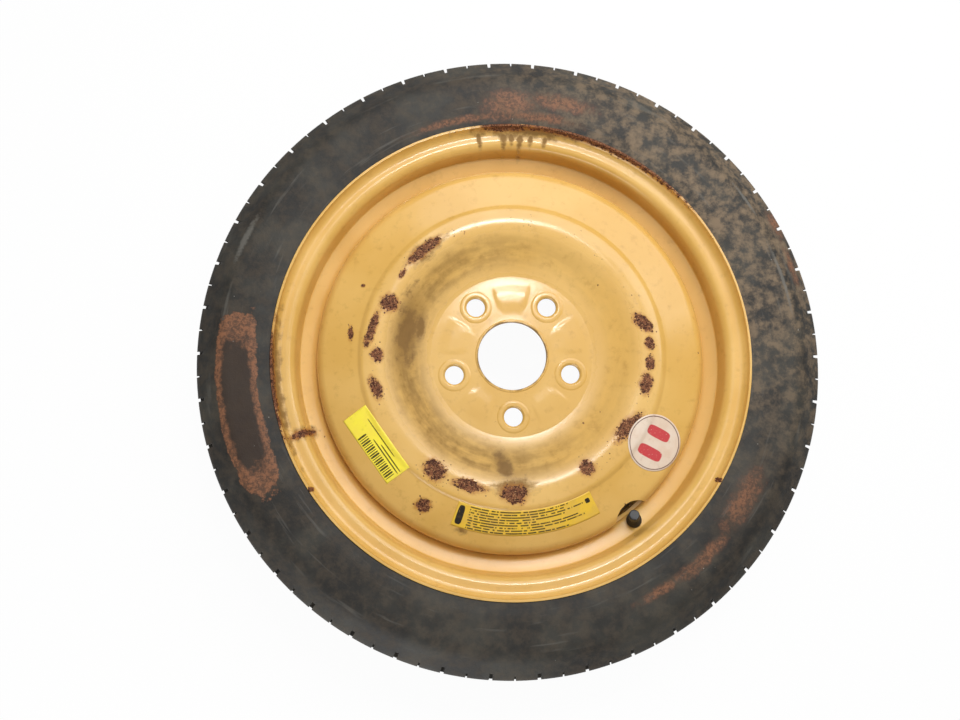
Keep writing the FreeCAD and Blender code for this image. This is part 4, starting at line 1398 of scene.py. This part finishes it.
@dataclass
class Labels:
    """The paper labels on the disc's outer band, with plain print."""

    disc: Disc
    lift: float = 0.14
    wall: float = 0.15
    info_inner: float = 142.0
    info_outer: float = 164.5
    info_start: float = 249.6
    info_arc: float = 49.0
    shop_length: float = 69.5
    shop_width: float = 25.0
    shop_radius: float = 149.5
    shop_angle: float = 213.5
    shop_turn: float = 125.8
    round_radius: float = 26.0
    round_centre: float = 153.0
    round_angle: float = -32.0
    info_grid: tuple[int, int] = (16, 110)
    shop_grid: tuple[int, int] = (20, 52)
    round_grid: tuple[int, int] = (24, 96)

    def skin(self, name: str, node: str, flat: np.ndarray, sheet: np.ndarray, rows: int,
             finish: bpy.types.Material) -> bpy.types.Object:
        """Lays a grid of places on the disc's face as a thin paper skin.

        Args:
            name: The piece's name.
            node: The CAD node that it stands for.
            flat: x and y of each point.
            sheet: The label's own millimetres at each point.
            rows: How many rows the grid has.
            finish: The printed paper.

        Returns:
            The finished piece.
        """
        height = self.disc.face_height(np.hypot(flat[:, 0], flat[:, 1])) + self.lift + self.wall
        piece = new_piece(name, np.column_stack([flat, height]), grid_faces(rows, len(flat) // rows))
        mesh = piece.data
        layer = mesh.uv_layers.new(name="label")
        for loop in mesh.loops:
            layer.data[loop.index].uv = sheet[loop.vertex_index]
        form = bmesh.new()
        form.from_mesh(mesh)
        bmesh.ops.remove_doubles(form, verts=form.verts, dist=SLIVER)
        bmesh.ops.recalc_face_normals(form, faces=form.faces)
        if sum(face.normal.z for face in form.faces) < 0:
            bmesh.ops.reverse_faces(form, faces=form.faces)
        form.to_mesh(mesh)
        form.free()
        mesh.shade_smooth()
        mesh.materials.append(finish)
        wall = piece.modifiers.new("paper", "SOLIDIFY")
        wall.thickness = self.wall * MM
        wall.offset = -1.0
        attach(piece, WHEEL_BODY)
        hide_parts(node)
        return piece

    def build_info(self, finish: bpy.types.Material) -> bpy.types.Object:
        """Makes the long curved label."""
        radii = np.linspace(self.info_inner, self.info_outer, self.info_grid[0])
        turns = np.linspace(self.info_start, self.info_start + self.info_arc, self.info_grid[1])
        middle = (self.info_inner + self.info_outer) / 2
        flat, sheet = [], []
        for radius in radii:
            for turn in turns:
                angle = math.radians(turn)
                flat.append((radius * math.cos(angle), radius * math.sin(angle)))
                along = math.radians(turn - self.info_start - self.info_arc / 2) * middle
                sheet.append((along, middle - radius))
        return self.skin("info_paper", "info_label", np.array(flat), np.array(sheet),
                         len(radii), finish)

    def build_shop(self, finish: bpy.types.Material) -> bpy.types.Object:
        """Makes the oblong label."""
        turn = math.radians(self.shop_turn)
        angle = math.radians(self.shop_angle)
        middle = np.array([math.cos(angle), math.sin(angle)]) * self.shop_radius
        along = np.array([math.cos(turn), math.sin(turn)])
        up = np.array([-along[1], along[0]])
        flat, sheet = [], []
        ups = np.linspace(-self.shop_width / 2, self.shop_width / 2, self.shop_grid[0])
        for v in ups:
            for u in np.linspace(-self.shop_length / 2, self.shop_length / 2, self.shop_grid[1]):
                flat.append(middle + along * u + up * v)
                sheet.append((u, v))
        return self.skin("shop_paper", "shop_label", np.array(flat), np.array(sheet),
                         len(ups), finish)

    def build_round(self, finish: bpy.types.Material) -> bpy.types.Object:
        """Makes the round sticker."""
        angle = math.radians(self.round_angle)
        middle = np.array([math.cos(angle), math.sin(angle)]) * self.round_centre
        flat, sheet = [], []
        radii = np.linspace(0.0, self.round_radius, self.round_grid[0])
        for radius in radii:
            for k in range(self.round_grid[1] + 1):
                turn = math.tau * k / self.round_grid[1]
                spot = np.array([math.cos(turn), math.sin(turn)]) * radius
                flat.append(middle + spot)
                sheet.append(tuple(spot))
        return self.skin("round_paper", "round_sticker", np.array(flat), np.array(sheet),
                         len(radii), finish)


# Print on the labels: plain bars and blocks in the label's own millimetres
INFO_PAPER = PrintedPaper(
    "info_label_coated_paper", "#EBC03A", "#E0B548", "#5A4A22", (),
    (Spot(-60.5, 0.0, 3.0, 8.8), Spot(60.0, 4.5, 2.2, 2.2)), "#241F16",
    lines=PrintLines(-53.0, 112.0, -10.6, 21.2, 2.35))
SHOP_PAPER = PrintedPaper(
    "shop_label_coated_paper", "#FFEE48", "#FCE650", "#4A4216",
    tuple(Spot(-31.0 + 2.3 * k, 6.6, 0.4 + 0.25 * (k * 5 % 3), 4.6) for k in range(20))
    + (Spot(-14.0, -0.6, 19.0, 0.55), Spot(-18.0, -3.4, 15.0, 0.55), Spot(2.0, -7.0, 21.0, 0.45)))
ROUND_PAPER = PrintedPaper(
    "round_sticker_coated_paper", "#E6D3BF", "#DFC6AE", "#C9474A",
    (Spot(4.2, 8.6, 11.5, 5.0, -26.0), Spot(-4.4, -8.8, 12.0, 5.2, -26.0)),
    rim_radius=24.2, rim_width=0.5, rim_ink="#6B4A40")

# Rust on the disc, as places on its face: middle, half length, half width and direction
DISC_CHIPS = (
    Spot(-83.4, 97.0, 18.9, 4.7, 40), Spot(-102.8, 74.2, 5.3, 2.5, 55), Spot(-114.5, 46.2, 8.4, 7.5, 72),
    Spot(-129.8, 22.3, 15.7, 3.8, 72), Spot(-124.8, -1.6, 6.2, 5.7, -89), Spot(-125.2, -32.0, 9.9, 5.0, 112),
    Spot(-71.0, -105.5, 10.8, 8.0, -36), Spot(-41.7, -119.0, 14.3, 5.5, -14), Spot(0.4, -127.3, 11.8, 8.5, 1),
    Spot(66.4, -103.4, 7.5, 7.5, -59), Spot(104.8, -67.0, 16.5, 7.0, 44), Spot(122.5, -26.8, 10.1, 5.7, 82),
    Spot(126.8, -7.6, 7.2, 4.2, 88), Spot(126.6, 10.6, 5.9, 4.7, 88), Spot(121.7, 30.0, 10.9, 5.7, -45),
    Spot(-81.9, -137.2, 7.2, 5.5, 0), Spot(-149.8, 18.4, 2.5, 6.5, 0), Spot(-139.3, 64.2, 1.9, 1.6, 0),
)
DISC_HAZES = (
    Spot(-85.8, 25.2, 19.0, 5.5, 82), Spot(-98.1, 22.0, 34.0, 13.0, 84), Spot(-8.3, -104.0, 19.0, 7.0, -69),
    Spot(-47.9, -159.1, 8.5, 4.5, -12), Spot(-83.4, 97.0, 22.0, 9.0, 40), Spot(0.4, -122.0, 18.0, 13.0, 1),
)
# Rust on the rim, as radius and angle with half sizes across and along
RIM_CHIPS = (
    Spot(219.6, 187.0, 2.2, 13.0), Spot(219.0, 68.0, 2.0, 26.0), Spot(206.0, 200.9, 9.0, 1.0),
    Spot(218.0, 214.2, 2.0, 0.6), Spot(218.0, -31.8, 2.0, 0.6), Spot(219.0, 92.0, 3.0, 6.0),
)
RIM_HAZES = (
    Spot(208.0, 200.9, 13.0, 1.6), Spot(210.0, 98.6, 7.0, 0.7), Spot(209.0, 92.1, 8.0, 0.8),
    Spot(210.0, 90.1, 7.0, 0.6), Spot(208.0, 87.8, 9.0, 0.8), Spot(210.0, 85.0, 7.0, 0.7),
    Spot(210.0, 81.3, 7.0, 0.7), Spot(217.0, 85.0, 6.0, 14.0), Spot(217.0, 188.0, 6.0, 15.0),
)
# The disc's bowl is darkened towards brown on its left: partly grime, partly painted shade
DISC_ENAMEL = WheelEnamel(
    "disc_baked_enamel", chips=DISC_CHIPS, hazes=DISC_HAZES, ring_hazes=(Spot(31.6, 80.0, 1.7, 900.0),),
    front_only=True, grime_and_shade_radius=121.0, chipped_ridge=126.0)
RIM_ENAMEL = WheelEnamel(
    "rim_baked_enamel", ring_chips=RIM_CHIPS, ring_hazes=RIM_HAZES, lowest_marks=60.0, wear=0.8)
WELD_ENAMEL = WheelEnamel("weld_baked_enamel", paint="#C9973F", pale_paint="#D3A24B", wear=1.6)


@dataclass(frozen=True)
class Lamp:
    """An oblong softbox that is aimed at the wheel: its place, its two sizes and its power in watts."""

    name: str
    place: tuple[float, float, float]
    sizes: tuple[float, float]
    power: float

    def hang(self) -> None:
        """Hangs the lamp, out of the camera's sight."""
        light = bpy.data.lights.new(self.name, "AREA")
        light.shape = "RECTANGLE"
        light.size, light.size_y = (size * MM for size in self.sizes)
        light.energy = self.power
        lamp = bpy.data.objects.new(self.name, light)
        lamp.location = Vector(self.place) * MM
        lamp.rotation_euler = (-lamp.location).to_track_quat("-Z", "Y").to_euler()
        lamp.visible_camera = False
        bpy.context.scene.collection.objects.link(lamp)


@dataclass
class Studio:
    """The pale floor, soft light and the camera at the photograph's angle."""

    eye: tuple[float, float, float] = (-62.80, -108.50, 837.03)
    forward: tuple[float, float, float] = (0.0442, 0.1417, -0.9889)
    upward: tuple[float, float, float] = (-0.0051, 0.9899, 0.1416)
    lens: float = 29.64
    sensor: float = 36.0
    floor_half: float = 6000.0
    floor_tone: str = "#F4F4F2"
    floor_glow: float = 0.96
    shade_inner: float = 100.0
    shade_outer: float = 270.0
    shade_fade: float = 10.0
    sky: str = "#F2F4F6"
    sky_strength: float = 0.12
    lamps: tuple[Lamp, ...] = (
        Lamp("window_softbox", (360.0, 780.0, 1080.0), (1800.0, 800.0), 13.2),
        Lamp("low_softbox", (-400.0, -1100.0, 290.0), (900.0, 300.0), 6.0),
        Lamp("overhead_softbox", (105.0, 180.0, 1250.0), (1500.0, 1500.0), 6.6),
        Lamp("spark_softbox", (60.0, 400.0, 1250.0), (200.0, 160.0), 3.4))

    def build_floor(self) -> None:
        """Lays the floor, which reads white to the camera, takes the shadow and is dark under the wheel."""
        half = self.floor_half
        corners = np.array([(-half, -half, 0), (half, -half, 0), (half, half, 0), (-half, half, 0)])
        floor = new_piece("floor", corners, [range(len(corners))])
        ink = Painter("floor_paper")
        path = ink.add("ShaderNodeLightPath")
        seen = ink.maths("MAXIMUM", path.outputs["Is Camera Ray"], path.outputs["Is Glossy Ray"])
        seen = ink.maths("MAXIMUM", seen, path.outputs["Is Transmission Ray"])
        paper = ink.add("ShaderNodeBsdfDiffuse", {"Color": linear(self.floor_tone)})
        glow = ink.add("ShaderNodeEmission", {"Color": WHITE, "Strength": 1.0})
        radius, _, _ = ink.polar()
        inside = ink.ramp(radius, self.shade_inner, self.shade_inner + self.shade_fade, 1.0, 0.0)
        outside = ink.ramp(radius, self.shade_outer, self.shade_outer + self.shade_fade)
        open_floor = ink.maths("MULTIPLY", ink.maths("ADD", inside, outside), self.floor_glow)
        share = ink.maths("MULTIPLY", seen, open_floor)
        mixed = ink.add("ShaderNodeMixShader", {0: share, 1: paper, 2: glow})
        ink.add("ShaderNodeOutputMaterial", {"Surface": mixed})
        floor.data.materials.append(ink.material)

    def build_light(self) -> None:
        """Hangs the softboxes and fills the room."""
        for lamp in self.lamps:
            lamp.hang()
        world = bpy.data.worlds.new("studio_room")
        world.use_nodes = True
        tree = world.node_tree
        tree.nodes.clear()
        path = add(tree, "ShaderNodeLightPath")
        room = add(tree, "ShaderNodeBackground", {"Color": linear(self.sky), "Strength": self.sky_strength})
        wall = add(tree, "ShaderNodeBackground", {"Color": WHITE, "Strength": 1.0})
        mixed = add(tree, "ShaderNodeMixShader", {0: path.outputs["Is Camera Ray"], 1: room, 2: wall})
        add(tree, "ShaderNodeOutputWorld", {"Surface": mixed})
        bpy.context.scene.world = world

    def build_camera(self) -> None:
        """Sets the camera where the photograph was taken from."""
        lens = bpy.data.cameras.new("photo_camera")
        lens.sensor_width = self.sensor
        lens.lens = self.lens
        lens.clip_start = 0.01
        camera = bpy.data.objects.new("photo_camera", lens)
        forward = Vector(self.forward).normalized()
        right = forward.cross(Vector(self.upward)).normalized()
        up = right.cross(forward)
        turn = Matrix((right, up, -forward)).transposed().to_4x4()
        camera.matrix_world = Matrix.Translation(Vector(self.eye) * MM) @ turn
        bpy.context.scene.collection.objects.link(camera)
        bpy.context.scene.camera = camera
        bpy.context.scene.view_settings.view_transform = "Standard"


def report(piece: bpy.types.Object) -> None:
    """Logs a piece's name and face count."""
    LOG.info("%s: %d faces", piece.name, len(piece.data.polygons))


def main() -> None:
    """Builds the studio and every sub-assembly in order."""
    logging.basicConfig(level=logging.INFO, format="%(name)s %(message)s")
    studio = Studio()
    studio.build_camera()
    studio.build_floor()
    studio.build_light()
    shop = Workshop()
    report(Tyre().build(shop, TyreRubber().make()))
    report(Rim().build(shop, RIM_ENAMEL.make()))
    disc = Disc()
    disc_enamel = DISC_ENAMEL.make()
    report(disc.build(disc_enamel))
    report(disc.build_seats(shop, disc_enamel))
    report(Welds().build(shop, WELD_ENAMEL.make()))
    valve = Valve()
    report(valve.build_stem(shop, VALVE_RUBBER.make()))
    report(valve.build_cap(CAP_PLASTIC.make()))
    valve.dress_inside()
    labels = Labels(disc)
    report(labels.build_info(INFO_PAPER.make()))
    report(labels.build_shop(SHOP_PAPER.make()))
    report(labels.build_round(ROUND_PAPER.make()))


if __name__ == "__main__":
    main()
